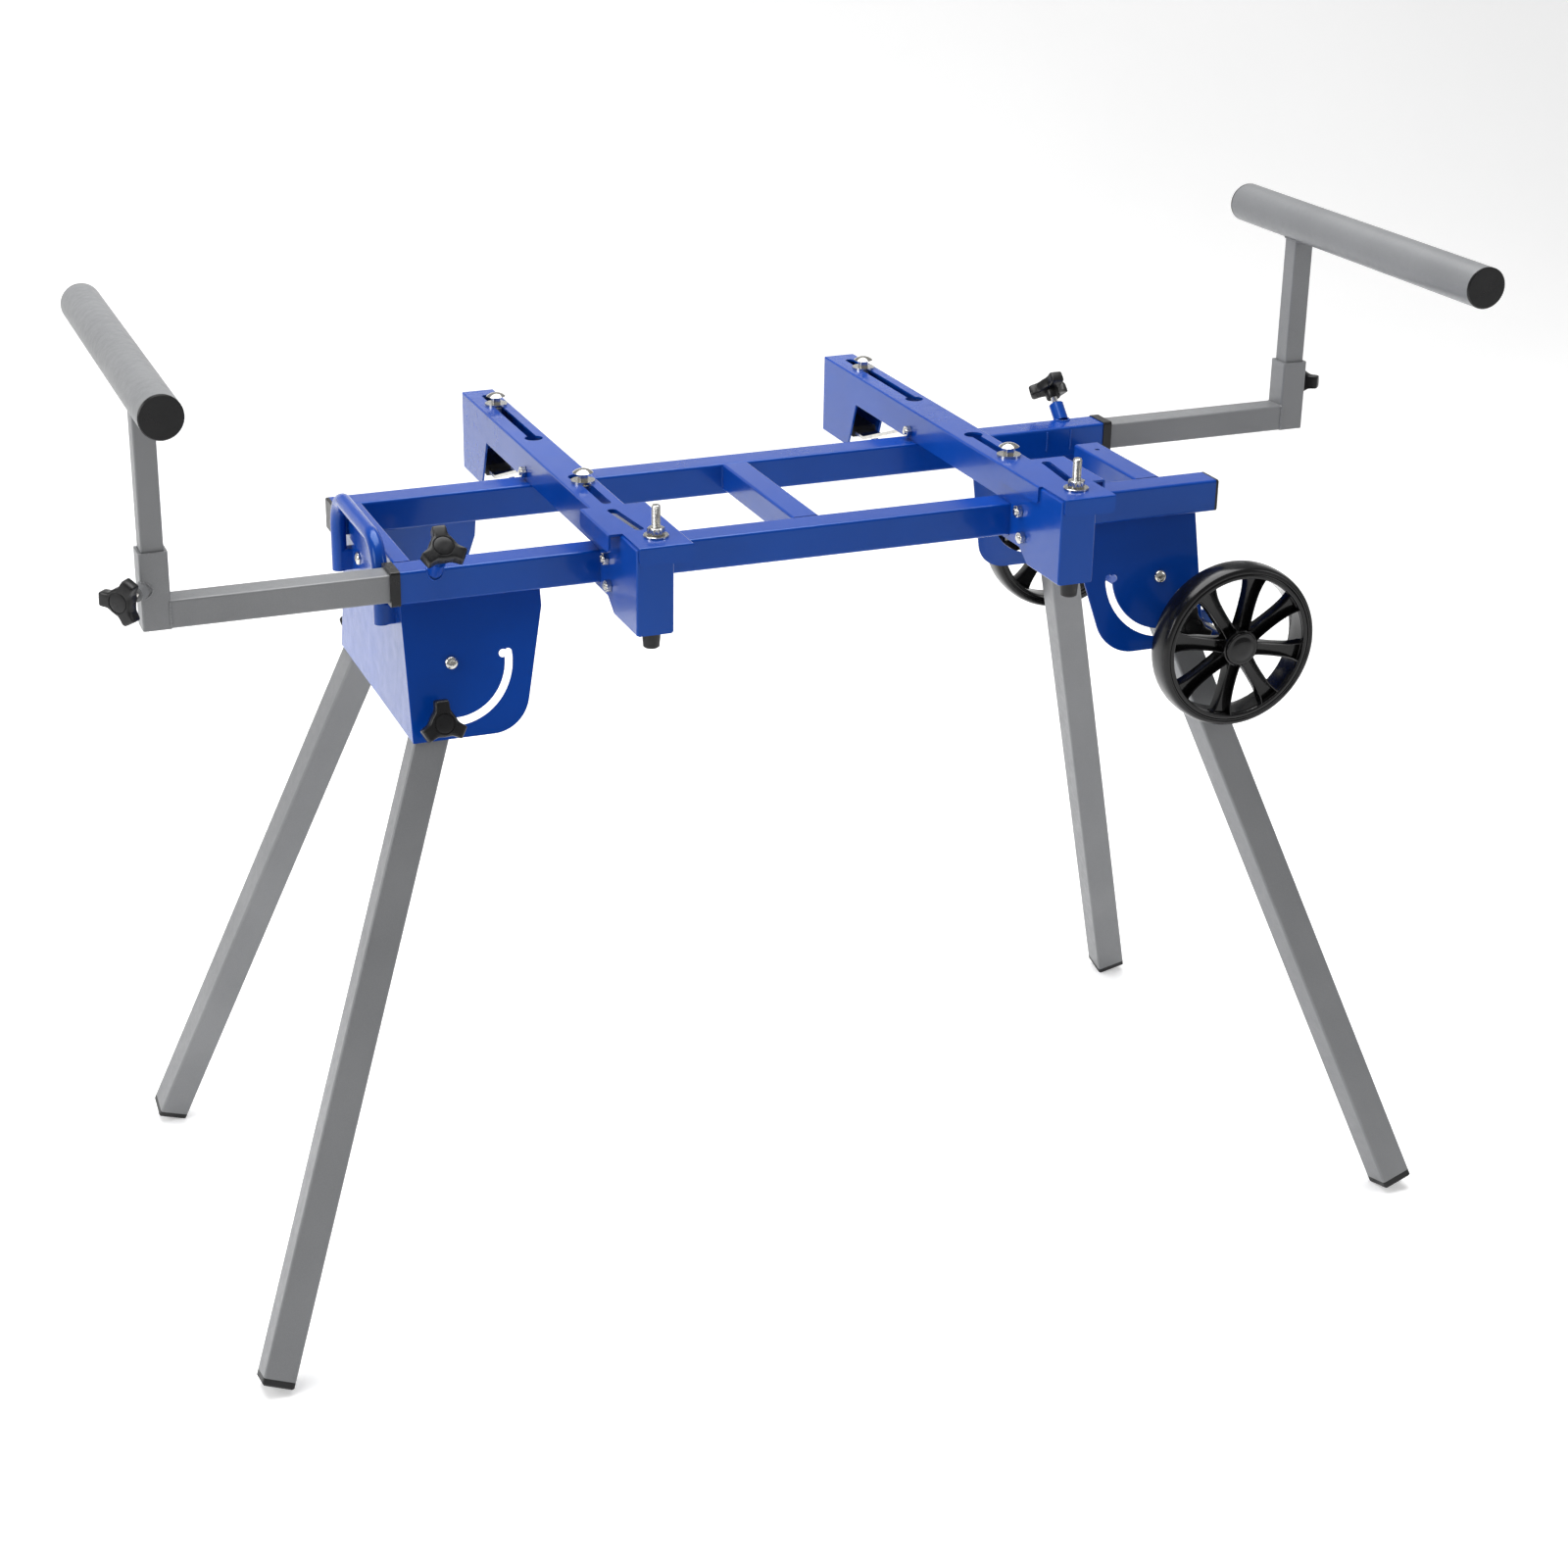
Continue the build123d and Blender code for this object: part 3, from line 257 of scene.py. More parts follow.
def zinc_plate():
    """Bright zinc: metal with faint warm and cool clouds and fine turning marks."""
    finish = Finish("zinc_plate")
    cloud = finish.band(finish.speckle(130, 3), 0.35, 0.65)
    colour = finish.blend(cloud, rgb(0.50, 0.50, 0.50), rgb(0.64, 0.62, 0.56))
    rough = finish.band(finish.speckle(700, 4), 0.3, 0.7, 0.12, 0.26)
    marks = finish.bump(finish.speckle(1500, 2, 0.5), 0.00006, 0.4)
    return finish.feed(Base_Color=colour, Roughness=rough, Normal=marks, Metallic=1.0)


def dark_moulding(name, low, high, rough_low, rough_high, grain_scale, grain_depth):
    """Moulded plastic or rubber: near black, with the mould's fine grain and rubbed patches."""
    finish = Finish(name)
    cloud = finish.band(finish.speckle(40, 4), 0.35, 0.7)
    colour = finish.blend(cloud, rgb(*low), rgb(*high))
    rough = finish.band(finish.speckle(90, 5, 0.65), 0.3, 0.7, rough_low, rough_high)
    grain = finish.bump(finish.speckle(grain_scale, 3, 0.6), grain_depth, 0.5)
    return finish.feed(Base_Color=colour, Roughness=rough, Normal=grain, Specular_IOR_Level=0.34)


blue = blue_powder_coat()
grey = grey_powder_coat()
zinc = zinc_plate()
knob_black = dark_moulding("knob_plastic", (0.0045, 0.0045, 0.005), (0.008, 0.008, 0.0085),
                           0.24, 0.38, 1500, 0.00006)
wheel_black = dark_moulding("wheel_plastic", (0.0020, 0.0020, 0.0024), (0.0034, 0.0034, 0.0038),
                            0.10, 0.20, 700, 0.00002)
tyre_black = dark_moulding("tyre_rubber", (0.0022, 0.0022, 0.0026), (0.0038, 0.0038, 0.0042),
                           0.16, 0.25, 900, 0.00002)
foot_black = dark_moulding("foot_rubber", (0.006, 0.006, 0.0065), (0.010, 0.010, 0.0105),
                           0.40, 0.58, 1100, 0.00010)
finishes = {"blue_paint": blue, "grey_paint": grey, "zinc": zinc, "lever_zinc": zinc,
            "black_plastic": knob_black, "wheel_plastic": wheel_black, "tyre_rubber": tyre_black,
            "black_rubber": foot_black}
slot_of = {part["node"]: part["material_slot"] for part in frame["record"]["subparts"]}
for name, node in frame["nodes"].items():
    for material_slot in node.material_slots:
        material_slot.material = finishes[slot_of[name]]
print("finishes", len(finishes))

# %% [markdown]
# The clamping knobs are moulded with three flat-ended arms round a disc with a pressed-in cap.
# Seen along its axis the outline is a distance that depends on the angle, so one table of
# distances gives all three arms, and a stack of such outlines gives the body, its draft and its
# rounded top edge.

# %% Knob surfaces
ARM_SHARE = 120
ARM_ANGLES = [0, 8, 14, 17, 20, 24, 30, 38, 48, 60]
ARM_REACHES = np.array([26.3, 26.5, 26.9, 26.4, 23.6, 20.2, 17.6, 16.3, 15.7, 15.5]) / 1000


def knob_outline(angle):
    """Distance from the axis at each angle: a table over half an arm's share of a turn, mirrored."""
    fold = np.degrees(angle) % ARM_SHARE
    return np.interp(np.minimum(fold, ARM_SHARE - fold), ARM_ANGLES, ARM_REACHES)


def knob_shells(place, hub, grip, steps=180):
    """Rings from the hub's start to the grip's top: circles, then the arms' outline, then circles.

    An arm ring is the outline's distance plus an inset, which is the same all round.
    """
    angle = np.linspace(0, TAU, steps, endpoint=False)
    top = hub + grip
    hub_circles = [(0.0086, 0.0), (0.009, 0.0006), (0.0092, hub - 0.0002), (0.0125, hub)]
    arm_insets = [(-0.0016, hub), (-0.0004, hub + 0.0008), (0.0, hub + 0.0022),
                  (-0.0003, top - 0.0035), (-0.0009, top - 0.0016), (-0.0022, top - 0.0005),
                  (-0.0038, top - 0.0002)]
    cap_circles = [(0.0126, top), (0.0117, top), (0.0113, top - 0.0009), (0.0109, top - 0.0009),
                   (0.0106, top - 0.0003), (0.0099, top - 0.0001), (0.004, top)]
    rings = []
    for base, stack in ((0, hub_circles), (knob_outline(angle), arm_insets), (0, cap_circles)):
        for offset, height in stack:
            radius = base + np.full(steps, offset)
            rings.append(place.points(radius * np.cos(angle), radius * np.sin(angle), height))
    return [grid_shell(np.array(rings))]


print("knob helpers ready")

# %% [markdown]
# A thread is one ridge wound round the shank. On a grid of height against angle the radius is a
# triangle wave of height over pitch less angle over a turn, which closes on itself because a
# whole turn moves the wave by exactly one pitch.

# %% Threads, nuts and washers
TIP_TAPER = 0.0008


def threaded_shell(place, radius, start, end, pitch, steps=28):
    """Radius less the thread's depth times a triangle wave of height / pitch - angle / turn.

    The last turn tapers to a point, and no ring is thinner than a share of the radius.
    """
    depth = 0.6 * pitch
    rows = int((end - start) / pitch * 6) + 2
    height = np.linspace(start, end, rows)[:, None]
    angle = np.linspace(0, TAU, steps, endpoint=False)[None, :]
    wave = np.abs(((height / pitch - angle / TAU) % 1.0) * 2 - 1)
    taper = np.clip((end - height) / (1.2 * pitch), 0, 1)
    ring = (radius - depth * wave) - (1 - taper) * TIP_TAPER
    ring = np.maximum(ring, radius * 0.6)
    return grid_shell(place.points(ring * np.cos(angle), ring * np.sin(angle), height))


def hex_shell(place, across_corners, start, end, steps=72):
    """Six-sided prism whose corners are cut by a cone at both ends.

    The prism's radius is the flat's distance over the cosine of the angle from that flat.
    """
    angle = np.linspace(0, TAU, steps, endpoint=False)
    flat = across_corners * np.cos(np.pi / 6)
    prism = flat / np.cos((angle + np.pi / 6) % (np.pi / 3) - np.pi / 6)
    cone = (across_corners - flat) * 1.1 * 0.55
    stack = [(start, flat - 0.0003), (start + 0.0002, flat), (start + cone, across_corners),
             (end - cone, across_corners), (end - 0.0002, flat), (end, flat - 0.0003),
             (end, flat * 0.55)]
    rings = []
    for height, limit in stack:
        radius = np.minimum(prism, limit)
        rings.append(place.points(radius * np.cos(angle), radius * np.sin(angle), height))
    return grid_shell(np.array(rings))


def button_head(place, radius, height, socket, steps=48):
    """Domed head with a six-sided socket: circles up to the dome's top, then shrinking hexagons.

    The dome's radius is the head's radius times the cosine of an even sweep, and its height is a
    rim plus the rest of the height times the sine.
    """
    angle = np.linspace(0, TAU, steps, endpoint=False)
    hexagon = np.cos(np.pi / 6) / np.cos(angle % (np.pi / 3) - np.pi / 6)
    rim = 0.25 * height
    circles = [(radius * 0.97, 0.00005), (radius, rim * 0.4)]
    for t in np.radians([0, 12, 24, 36, 47, 57]):
        rise = (height - rim) * np.sin(t) / np.sin(np.radians(60))
        circles.append((radius * np.cos(t), rim + rise))
    circles.append((socket * 1.06, height))
    hexagons = [(socket, height - 0.0003), (socket * 0.98, height * 0.42),
                (socket * 0.3, height * 0.36)]
    rings = []
    for shape, stack in ((1.0, circles), (hexagon, hexagons)):
        for size, z in stack:
            reach = size * shape
            rings.append(place.points(reach * np.cos(angle), reach * np.sin(angle), z))
    return grid_shell(np.array(rings))


def washer_shell(place, radius, start, end):
    """A turned disc whose two outer edges are cut at an angle."""
    edge = min(0.0005, (end - start) / 3)
    return turned_shell(place, [(0.001, start), (radius - edge, start), (radius, start + edge),
                                (radius, end - edge), (radius - edge, end), (0.001, end)])


print("thread helpers ready")

# %% [markdown]
# The stand has eight knobs: one on each leg, one on each rail for the arm inside it, and one on
# each upright for the post inside it. They differ only in where they sit and which way they face.

# %% Make the knobs
RAIL_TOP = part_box("front_rail")[1][2]
RAIL_Y, RAIL_HALF = 0.132, 0.019
HUB, GRIP = 0.010, 0.014
M8, M8_PITCH = 0.004, 0.00125
ARM_LOCK_X, ARM_KNOB_OUT, ARM_STUD_OUT = 0.451, 0.05787, 0.0219
SLEEVE_X, HEIGHT_LOCK_RISE = 0.759, 0.011
HEIGHT_KNOB_OUT, HEIGHT_STUD_OUT = 0.040627, 0.01715
LEAN = np.radians(14.79)
PIVOT = np.array([0.4354, 0.149138, 0.778])
LEG_SPLAY, RIGHT_REAR_SPLAY = 19.4, 16.2
LEG_SLOT, LEG_KNOB_OUT, LEG_STUD_FROM = 0.0663, 0.009, -0.0555


def knob_pieces(name, body, place, stud_from):
    """Black grip with its hub at the frame's origin, and the zinc stud below it."""
    grip = make_piece(name + "_grip", knob_shells(place, HUB, GRIP), body, knob_black)
    make_piece(name + "_stud", [threaded_shell(place, M8, stud_from, 0.003, M8_PITCH)], body,
               zinc, 60)
    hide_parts(name)


for side, sign in (("left", -1), ("right", 1)):
    out = np.array([0, sign, 1]) / np.sqrt(2)
    centre = np.array([sign * ARM_LOCK_X, sign * RAIL_Y, RAIL_TOP - RAIL_HALF])
    place = Place(centre + out * ARM_KNOB_OUT, out, (0, -sign, 1))
    knob_pieces(side + "_arm_knob", side + "_arm_lock", place, ARM_STUD_OUT - ARM_KNOB_OUT)
    out = np.array([sign, sign, 0]) / np.sqrt(2)
    centre = np.array([sign * SLEEVE_X, sign * RAIL_Y, RAIL_TOP + HEIGHT_LOCK_RISE])
    place = Place(centre + out * HEIGHT_KNOB_OUT, out, (-0.375 * sign, 0.375 * sign, 0.848))
    knob_pieces(side + "_height_knob", side + "_height_lock", place,
                HEIGHT_STUD_OUT - HEIGHT_KNOB_OUT)
    for end, depth in (("front", -1), ("rear", 1)):
        name = f"{side}_{end}_leg"
        splay = np.radians(RIGHT_REAR_SPLAY if name == "right_rear_leg" else LEG_SPLAY)
        out = np.array([0, depth * np.cos(LEAN), np.sin(LEAN)])
        down = np.array([sign * np.sin(splay), depth * np.sin(LEAN) * np.cos(splay),
                         -np.cos(LEAN) * np.cos(splay)])
        centre = PIVOT * (sign, depth, 1) + down * LEG_SLOT
        place = Place(centre + out * LEG_KNOB_OUT, out, (0, 0, 1))
        knob_pieces(name + "_knob", name + "_lock", place, LEG_STUD_FROM)
print("knobs made")

# %% [markdown]
# Each bracket carries plated fasteners: a stud with nut and washer that holds the front of the
# saw, and three cross bolts with nuts that guide it on the rails. Real threads and cut corners
# are what make them read as hardware, so they are made again over the CAD's plain shanks.

# %% Make the bracket fasteners
BRACKET_MIDDLE = {"left": -0.2404, "right": 0.2573}
HALF_BRACKET = 0.0212
CROSS_BOLTS = ((-0.176, RAIL_TOP - 0.0016), (-0.186, RAIL_TOP - 0.030), (0.133, RAIL_TOP + 0.0105))
CAP_TOP = RAIL_TOP + 0.0405
STUD_FROM_MIDDLE, STUD_Y = 0.012, -0.243
M10, M10_PITCH, M10_NUT = 0.005, 0.0015, 0.0098
M8_NUT, HEAD_R, HEAD_HIGH = 0.0075, 0.0075, 0.0044
NECK_SLEEVE = [(0.0061, -0.008), (0.0064, -0.0077), (0.0064, -0.0053), (0.0061, -0.005)]
for side, middle in BRACKET_MIDDLE.items():
    stud = Place((middle + STUD_FROM_MIDDLE, STUD_Y, CAP_TOP), (0, 0, 1), (1, 0.35, 0))
    shells = [threaded_shell(stud, M10, -0.008, 0.0358, M10_PITCH),
              washer_shell(stud, 0.014, 0.0, 0.0025), hex_shell(stud, M10_NUT, 0.0025, 0.0105),
              turned_shell(stud, NECK_SLEEVE, 32)]
    for y, z in CROSS_BOLTS:
        left_face = Place((middle - HALF_BRACKET, y, z), (-1, 0, 0), (0, 0.2, 1))
        right_face = Place((middle + HALF_BRACKET, y, z), (1, 0, 0), (0, 0.2, 1))
        shells.append(hex_shell(left_face, M8_NUT, 0.0001, 0.0065))
        shells.append(threaded_shell(left_face, M8, -0.030, 0.0085, M8_PITCH))
        shells.append(button_head(right_face, HEAD_R, HEAD_HIGH, 0.0027))
        shells.append(turned_shell(right_face, [(M8, -0.042), (M8, 0.0004)], 24))
    piece = make_piece(side + "_bracket_fasteners", shells, side + "_bracket_group", zinc, 28)
    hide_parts(side + "_bracket_bolts")
print("bracket fasteners made")

# %% [markdown]
# The four leg pivots are button-headed bolts through the leaning plates, with nuts inside the
# stand, and each end plate has two round-headed screws. They belong to one node of the chassis.

# %% Make the chassis fasteners
END_X, END_SCREWS = 0.4874, ((-0.048, 0.078), (0.058, 0.049))
PIVOT_SHANK, SCREW_SHANK = 0.0039, 0.0037
shells = []
for sign in (-1, 1):
    for depth in (-1, 1):
        out = (0, depth * np.cos(LEAN), np.sin(LEAN))
        pivot = Place(PIVOT * (sign, depth, 1), out, (1, 0.2, 0.3))
        shells.append(button_head(pivot, HEAD_R, HEAD_HIGH, 0.0030))
        shells.append(turned_shell(pivot, [(PIVOT_SHANK, -0.0405), (PIVOT_SHANK, 0.0004)], 24))
        shells.append(threaded_shell(pivot, PIVOT_SHANK, -0.0470, -0.0400, M8_PITCH))
        shells.append(hex_shell(pivot, M8_NUT, -0.0470, -0.0407))
    for y, drop in END_SCREWS:
        face = Place((sign * END_X, y, RAIL_TOP - drop), (sign, 0, 0), (0, 0.3, 1))
        shells.append(button_head(face, HEAD_R, HEAD_HIGH, 0.0026))
        shells.append(turned_shell(face, [(SCREW_SHANK, -0.0119), (SCREW_SHANK, 0.0004)], 24))
bolts = make_piece("chassis_fasteners", shells, "chassis", zinc, 28)
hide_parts("chassis_bolts")
print("chassis fasteners", len(shells))

# %% [markdown]
# A wheel is one gloss moulding with a separate tyre pressed round it. The tyre, rim, hub and cap
# are turned shapes. A spoke is not: it is a channel with a thin rib along each edge, narrow near
# the hub and flaring into the rim, so one section is carried outward while its width grows.

# %% Make the wheels
WHEEL = np.array([0.494, 0.242, 0.7125])
WHEEL_R, TYRE_IN, WIDTH = 0.099, 0.090, 0.036
TYRE_SHOULDER = 0.0922
SPOKE_FROM, SPOKE_TO, SPOKES, SPOKE_TURN = 0.018, 0.0850, 8, -11


def tyre_profile(steps=40):
    """Outside: a squashed circle, its powers under one, so the sides are flat and the shoulders round."""
    sweep = np.linspace(-np.pi / 2, np.pi / 2, steps)
    reach = TYRE_SHOULDER + (WHEEL_R - TYRE_SHOULDER) * np.abs(np.cos(sweep)) ** 0.75
    across = WIDTH / 2 * (1 + np.sign(np.sin(sweep)) * np.abs(np.sin(sweep)) ** 0.85)
    inside = [(0.0919, WIDTH - 0.0009), (0.0914, WIDTH - 0.0014), (TYRE_IN, WIDTH - 0.0014),
              (TYRE_IN, 0.0014), (0.0914, 0.0014), (0.0919, 0.0009)]
    return np.concatenate([np.stack([reach, across], 1), inside])


def spoke_shell(place, turn, steps=26):
    """A closed channel section carried from hub to rim.

    Half the width at a distance is its root, plus a slow growth, plus a flare that rises with the
    sixth power of the share of the way out. The section's corners keep their distance from the
    edges, so the ribs stay thin while the floor widens.
    """
    share = np.linspace(0, 1, steps)[:, None]
    distance = SPOKE_FROM + (SPOKE_TO - SPOKE_FROM) * share
    half = 0.0072 + 0.0016 * share + 0.0050 * share ** 6 + 0.0018 * (1 - share) ** 6
    inset = np.array([0, 0, 0.4, 1.1, 1.9, 2.4, 2.6]) / 1000
    depth = np.array([17.0, 3.0, 1.6, 1.1, 1.6, 3.4, 10.5]) / 1000
    sideways = np.concatenate([-(half - inset), (half - inset)[:, ::-1]], 1)
    sink = np.concatenate([depth, depth[::-1]])[None, :] + 0.0016 * np.sin(share * np.pi)
    sink = np.minimum(sink, 0.0170 - 0.003 * share)
    x = distance * np.cos(turn) - sideways * np.sin(turn)
    y = distance * np.sin(turn) + sideways * np.cos(turn)
    return grid_shell(place.points(x, y, -sink))


RIM_PROFILE = ([(0.0899, 0.0022)] + arc((0.0880, 0.0026), 0.0017, 0, -90, 4)
               + arc((0.0857, 0.0026), 0.0017, -90, -180, 4)
               + [(0.0840, 0.0052), (0.0833, 0.0056), (0.0828, 0.0180), (0.0832, 0.0320),
                  (0.0838, 0.0340), (0.0856, 0.0352), (0.0882, 0.0352), (0.0899, 0.0340)])
HUB_PROFILE = [(0.0062, 0.0), (0.0062, 0.0218), (0.0150, 0.0220), (0.0158, 0.0212), (0.0180, 0.0160),
               (0.0208, 0.0150), (0.0214, 0.0140), (0.0219, 0.0), (0.0217, -0.0018), (0.0205, -0.0028)]
CAP_PROFILE = ([(0.001, 0.0), (0.0195, 0.0)] + arc((0.0178, -0.0036), 0.0017, 0, -80, 6)
               + [(0.0160, -0.0051), (0.0140, -0.0050), (0.0128, -0.0056), (0.0060, -0.00595),
                  (0.001, -0.006)])


def wheel_ring(outer, profile, steps, wrap=True):
    """Turns a profile whose heights are depths below the wheel's outer face."""
    return turned_shell(outer, np.array(profile) * (1, -1), steps, wrap)


for end, depth in (("front", -1), ("rear", 1)):
    outer = Place(WHEEL * (1, depth, 1), (0, depth, 0), (1, 0, 0))
    body = end + "_wheel_group"
    tyre = make_piece(end + "_tyre_ring", [wheel_ring(outer, tyre_profile(), 128)], body,
                      tyre_black, 40)
    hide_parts(end + "_tyre")
    shells = [wheel_ring(outer, RIM_PROFILE, 128), wheel_ring(outer, HUB_PROFILE, 64)]
    for turn in range(SPOKES):
        shells.append(spoke_shell(outer, np.radians(360 / SPOKES * turn + SPOKE_TURN)))
    casting = make_piece(end + "_wheel_moulding", shells, body, wheel_black, 32)
    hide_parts(end + "_wheel")
    make_piece(end + "_hub_cap", [wheel_ring(outer, CAP_PROFILE, 64, wrap=False)], body,
               wheel_black, 40)
print("wheels made")

# %% [markdown]
# Where tubes are welded, a bead of ripples follows the joint under the paint. A bead is a small
# round section swept along the joint's line, with its radius rising and falling a little every
# couple of millimetres.

# %% Weld the joints


def bead_shell(path, radius=0.0017, closed=False, ripple=0.0022, seed=1):
    """A circle swept along a line. Its radius is the size times one plus a small sine of the length."""
    path = np.array(path, float)
    ends = np.roll(path, -1, 0) if closed else path[1:]
    starts = path if closed else path[:-1]
    lengths = np.linalg.norm(ends - starts, axis=1)
    total = lengths.sum()
    knots = np.concatenate([[0], np.cumsum(lengths)])
    corners = np.concatenate([path, path[:1]]) if closed else path
    count = max(12, int(total / ripple * 6))
    at = np.linspace(0, total, count, endpoint=not closed)
    line = np.stack([np.interp(at, knots, corners[:, axis]) for axis in range(3)], 1)
    along = (np.roll(line, -1, 0) - np.roll(line, 1, 0)) if closed else np.gradient(line, axis=0)
    along /= np.linalg.norm(along, axis=1, keepdims=True) + 1e-12
    helper = np.where(np.abs(along[:, 2:3]) < 0.8, [[0, 0, 1.0]], [[1.0, 0, 0]])
    side = np.cross(along, helper)
    side /= np.linalg.norm(side, axis=1, keepdims=True)
    other = np.cross(along, side)
    drift = 0.25 * np.sin(at / 0.011 + seed) + 0.15 * np.sin(at / 0.0047 + 2 * seed)
    size = radius * (1 + 0.13 * np.sin(TAU * at / ripple) + 0.35 * drift)
    if not closed:
        size *= np.clip(np.minimum(at, total - at) / radius, 0.25, 1)
    angle = np.linspace(0, TAU, 10, endpoint=False)
    ring = (side[:, None] * np.cos(angle)[:, None] + other[:, None] * np.sin(angle)[:, None])
    return grid_shell(line[:, None] + size[:, None, None] * ring, wrap_rows=closed)


def flip(path, sign):
    """The same joint on the other side of the stand, half a turn about the upright axis."""
    return np.array(path) * (-sign, -sign, 1)


def boss_ring(boss, half_tube, radius=0.0092, flat=0.0016):
    """Where a round boss meets the corner of a square tube.

    On each side of the corner the tube falls away by one for every one across, so the distance
    out is the corner's own, less the distance across, or less half the corner's flat.
    """
    turn = np.linspace(0, TAU, 36, endpoint=False)
    around, across = radius * np.sin(turn), radius * np.cos(turn)
    reach = half_tube * np.sqrt(2) - np.maximum(np.abs(across), flat)
    return boss.points(around, across, reach)


def post_loop(tube_radius=0.0241, half=0.0124, rise=0.230):
    """Where the square post meets the round tube above it: height is the root of radius squared
    less distance squared, taken down from the tube's middle."""
    tube_z = RAIL_TOP + rise
    sweep = np.linspace(-half, half, 9)
    crown = tube_z - np.sqrt(tube_radius ** 2 - sweep ** 2)
    edge = tube_z - np.sqrt(tube_radius ** 2 - half ** 2)
    return ([(s - SLEEVE_X, -RAIL_Y - half, z) for s, z in zip(sweep, crown)]
            + [(half - SLEEVE_X, half * t - RAIL_Y, edge) for t in (-0.5, 0, 0.5)]
            + [(-SLEEVE_X - s, half - RAIL_Y, z) for s, z in zip(sweep, crown[::-1])]
            + [(-SLEEVE_X - half, -RAIL_Y - half * t, edge) for t in (-0.5, 0, 0.5)])


def arm_joint(x=-0.7442, half=0.016, corner=0.002):
    """Up the arm's front, over its top and down its rear, where it meets the upright sleeve."""
    low, high = RAIL_TOP - 0.034, RAIL_TOP - 0.0032
    front, rear = -RAIL_Y - half, half - RAIL_Y
    return [(x, front, low), (x, front, high - corner), (x, front + corner, high),
            (x, rear - corner, high), (x, rear, high - corner), (x, rear, low)]


rail_boss = Place((-ARM_LOCK_X, -RAIL_Y, RAIL_TOP - RAIL_HALF), (0, -1, 1), (1, 0, 0))
sleeve_boss = Place((-SLEEVE_X, -RAIL_Y, RAIL_TOP + HEIGHT_LOCK_RISE), (-1, -1, 0), (0, 0, 1))
for side, sign in (("left", -1), ("right", 1)):
    bead = bead_shell(flip(arm_joint(), sign), 0.0015, ripple=0.0036, seed=sign)
    make_piece(side + "_arm_weld", [bead], side + "_arm_group", grey, 60)
    bead = bead_shell(flip(post_loop(), sign), 0.0019, True, seed=2)
    make_piece(side + "_post_weld", [bead], side + "_support_group", grey, 60)
    bead = bead_shell(flip(boss_ring(rail_boss, 0.0192), sign), 0.0014, True)
    make_piece(side + "_lock_boss_weld", [bead], "chassis", blue, 60)
    bead = bead_shell(flip(boss_ring(sleeve_boss, 0.0162), sign), 0.0012, True)
    make_piece(side + "_height_boss_weld", [bead], side + "_arm_group", grey, 60)
print("joints welded")

# %% [markdown]
# The cross pieces are welded between the rails, and the housings hang under them. Short beads
# run down the corners of each joint, on the sides that a welder can reach.

# %% Weld the cross pieces
INNER_FACE = RAIL_Y - 0.0192
CROSS_TUBE = 0.032
EDGE_GAP, END_GAP = 0.0002, 0.003
member_low, member_high = (corner[0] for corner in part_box("left_cross_member"))
tubes_low, tubes_high = (corner[0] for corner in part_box("cross_tubes"))
spans = ((member_low, member_high, 0.038), (tubes_low, tubes_low + CROSS_TUBE, CROSS_TUBE),
         (tubes_high - CROSS_TUBE, tubes_high, CROSS_TUBE))
shells = []
for low, high, tall in spans:
    for depth in (-1, 1):
        for x in (low - EDGE_GAP, high + EDGE_GAP):
            y = depth * INNER_FACE
            line = [(x, y, RAIL_TOP - tall + END_GAP), (x, y, RAIL_TOP - END_GAP)]
            shells.append(bead_shell(line, 0.0013, seed=low + depth))
make_piece("cross_piece_welds", shells, "chassis", blue, 60)
print("beads", len(shells))

# %% [markdown]
# A white studio sweep and a large soft light overhead give the pale sheen on top faces and the
# calm, darker sides of the photograph. A weaker panel on each side draws the long highlights
# down the tubes.

# %% Floor, lights and camera


def floor_sweep(start=3.0, radius=3.0):
    """Level in front, rising behind as a quarter circle.

    The height is the radius less the root of radius squared less distance past the start squared.
    """
    depth = np.linspace(-6, 6, 60)
    past = np.clip(depth - start, 0, radius * 0.999)
    rise = radius - np.sqrt(radius ** 2 - past ** 2)
    width = np.linspace(-9, 9, 24)
    x, y = np.meshgrid(width, depth)
    z = np.broadcast_to(rise[:, None], x.shape)
    verts, triangles = grid_shell(np.stack([x, y, z], -1), wrap_columns=False)
    mesh = bpy.data.meshes.new("studio_floor")
    mesh.from_pydata(verts, [], triangles)
    mesh.polygons.foreach_set("use_smooth", np.ones(len(mesh.polygons), dtype=bool))
    floor = bpy.data.objects.new("studio_floor", mesh)
    bpy.context.scene.collection.objects.link(floor)
    return floor


floor = floor_sweep()
pale = Finish("pale_floor")
cloud = pale.band(pale.speckle(1.5, 2), 0.3, 0.7)
floor_colour = pale.blend(cloud, rgb(0.86, 0.86, 0.86), rgb(0.88, 0.88, 0.88))
floor.data.materials.append(pale.feed(Base_Color=floor_colour, Roughness=0.9,
                                      Emission_Color=rgb(1, 1, 1), Emission_Strength=0.34))

WORLD_STRENGTH = 0.33
world = bpy.data.worlds.new("studio")
bpy.context.scene.world = world
world.use_nodes = True
sky = world.node_tree.nodes["Background"]
sky.inputs["Color"].default_value = rgb(1, 1, 1)
sky.inputs["Strength"].default_value = WORLD_STRENGTH


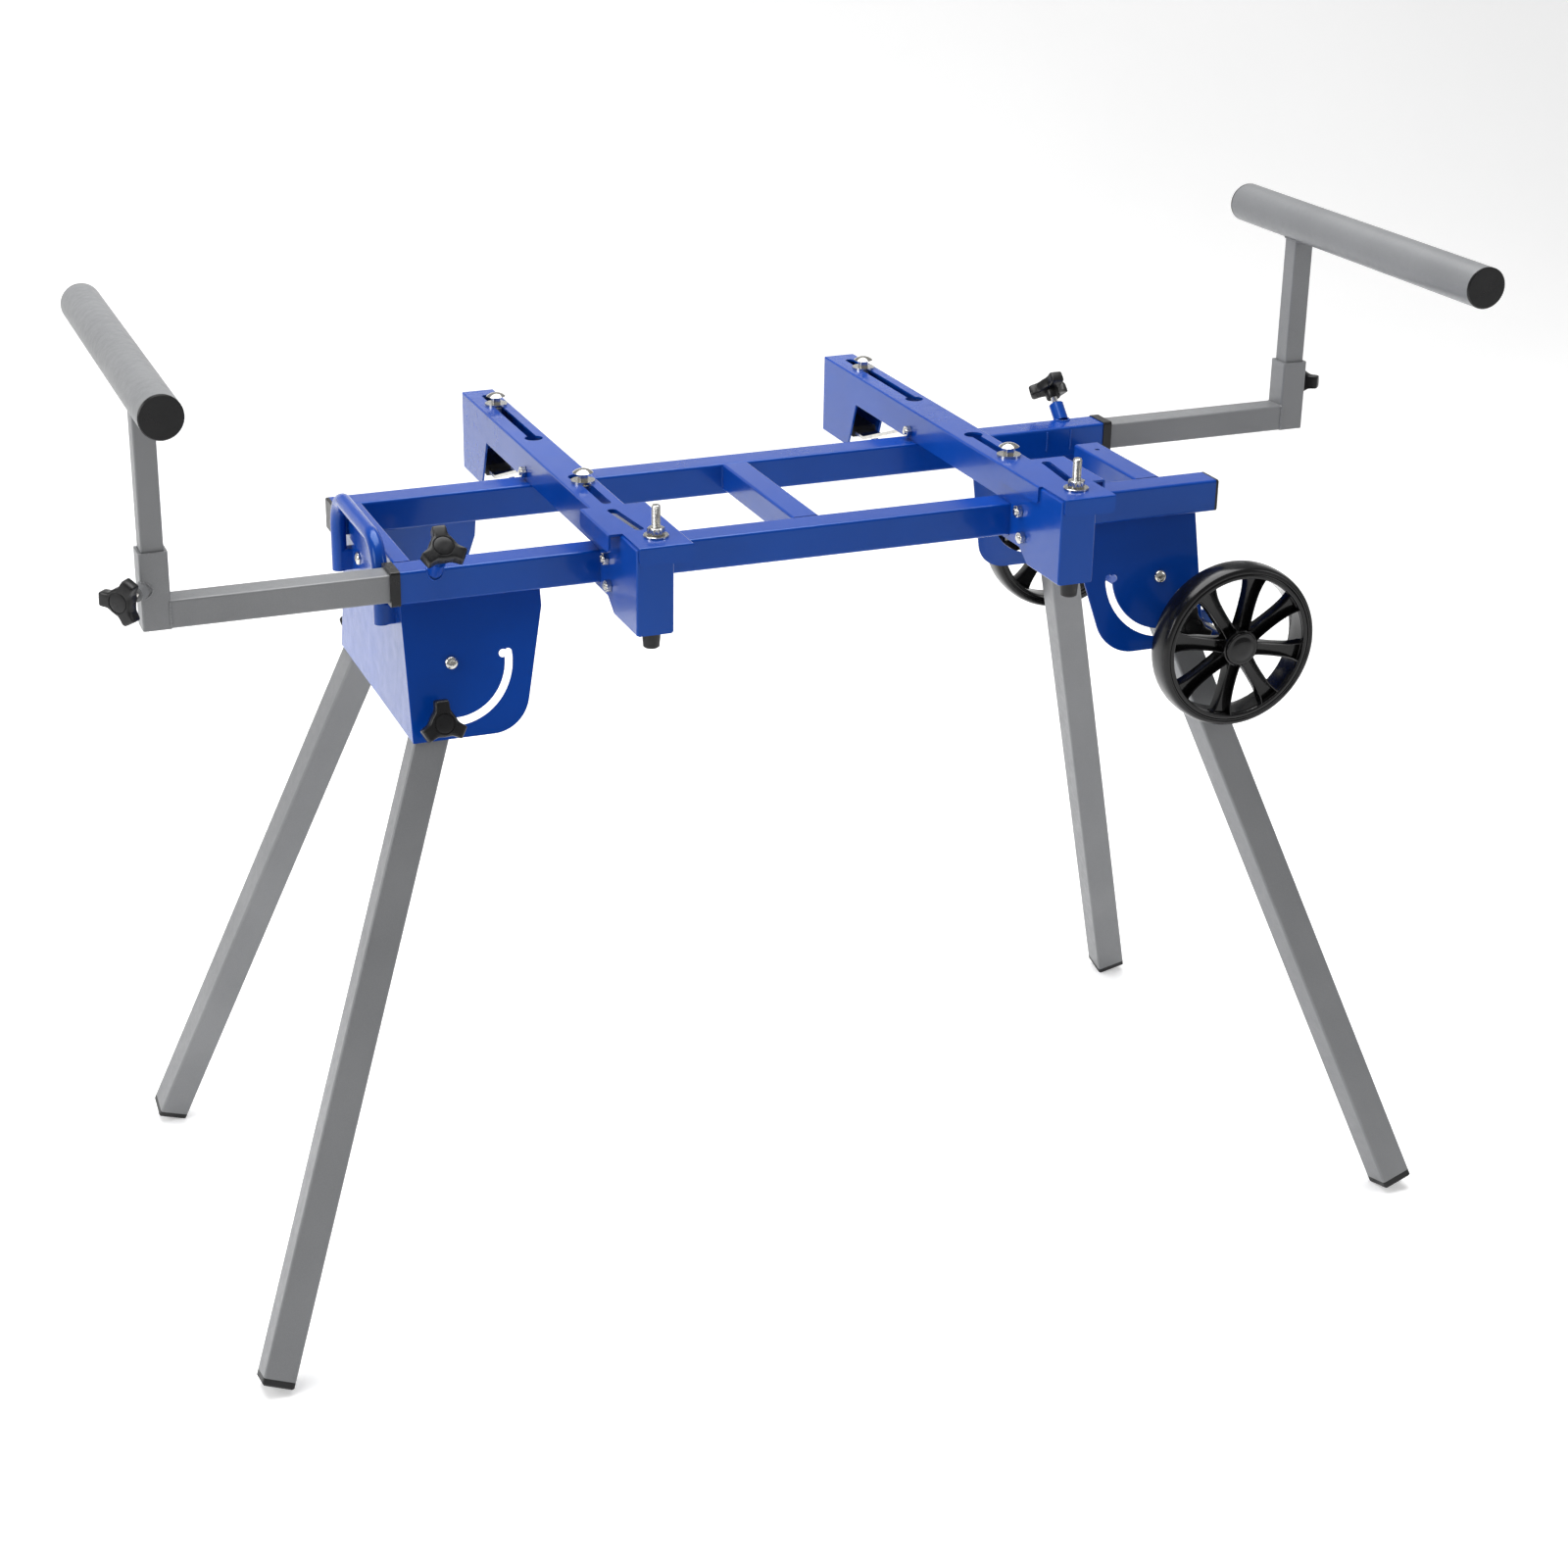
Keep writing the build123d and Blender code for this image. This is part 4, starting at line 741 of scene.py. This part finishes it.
def soft_panel(name, place, target, width, height, power):
    """A flat rectangular light that faces its target."""
    light = bpy.data.lights.new(name, "AREA")
    light.shape, light.size, light.size_y, light.energy = "RECTANGLE", width, height, power
    holder = bpy.data.objects.new(name, light)
    bpy.context.scene.collection.objects.link(holder)
    holder.location = place
    holder.rotation_euler = (Vector(target) - Vector(place)).to_track_quat("-Z", "Y").to_euler()


soft_panel("top_panel", (-0.2, 0.6, 4.0), (0, 0, 0.8), 4.0, 3.0, 210)
soft_panel("left_panel", (-3.8, -0.6, 2.3), (0, 0, 0.7), 1.4, 2.4, 70)
soft_panel("right_panel", (3.4, -2.2, 2.2), (0, 0, 0.7), 0.8, 2.2, 22)

CAMERA_TURN, CAMERA_RISE, CAMERA_ROLL = np.radians([-15.457, 22.11, -1.454])
CAMERA_PLACE = (-1.2041, MIDDLE_Y - 3.0237, 1.8877)
LENS, SENSOR = 65.73, 36.0
SHIFT_X, SHIFT_Y = 0.1963, -0.0249
right = np.array([np.cos(CAMERA_TURN), np.sin(CAMERA_TURN), 0])
back = np.array([np.sin(CAMERA_TURN) * np.cos(CAMERA_RISE),
                 -np.cos(CAMERA_TURN) * np.cos(CAMERA_RISE), np.sin(CAMERA_RISE)])
up = np.cross(back, right)
roll_cos, roll_sin = np.cos(CAMERA_ROLL), np.sin(CAMERA_ROLL)
rolled_right, rolled_up = roll_cos * right + roll_sin * up, roll_cos * up - roll_sin * right
lens = bpy.data.cameras.new("camera")
lens.lens, lens.sensor_width = LENS, SENSOR
lens.shift_x, lens.shift_y = SHIFT_X, SHIFT_Y
camera = bpy.data.objects.new("camera", lens)
bpy.context.scene.collection.objects.link(camera)
turn = Matrix([list(rolled_right), list(rolled_up), list(back)]).transposed().to_4x4()
camera.matrix_world = Matrix.Translation(CAMERA_PLACE) @ turn
bpy.context.scene.camera = camera
bpy.context.scene.view_settings.view_transform = "Standard"
print("camera", [round(v, 3) for v in camera.location])

# %% [markdown]
# The view layer is brought up to date, so that every piece holds its final place. The visual
# model must stay inside the CAD model's box.

# %% Bring the scene up to date
bpy.context.view_layer.update()
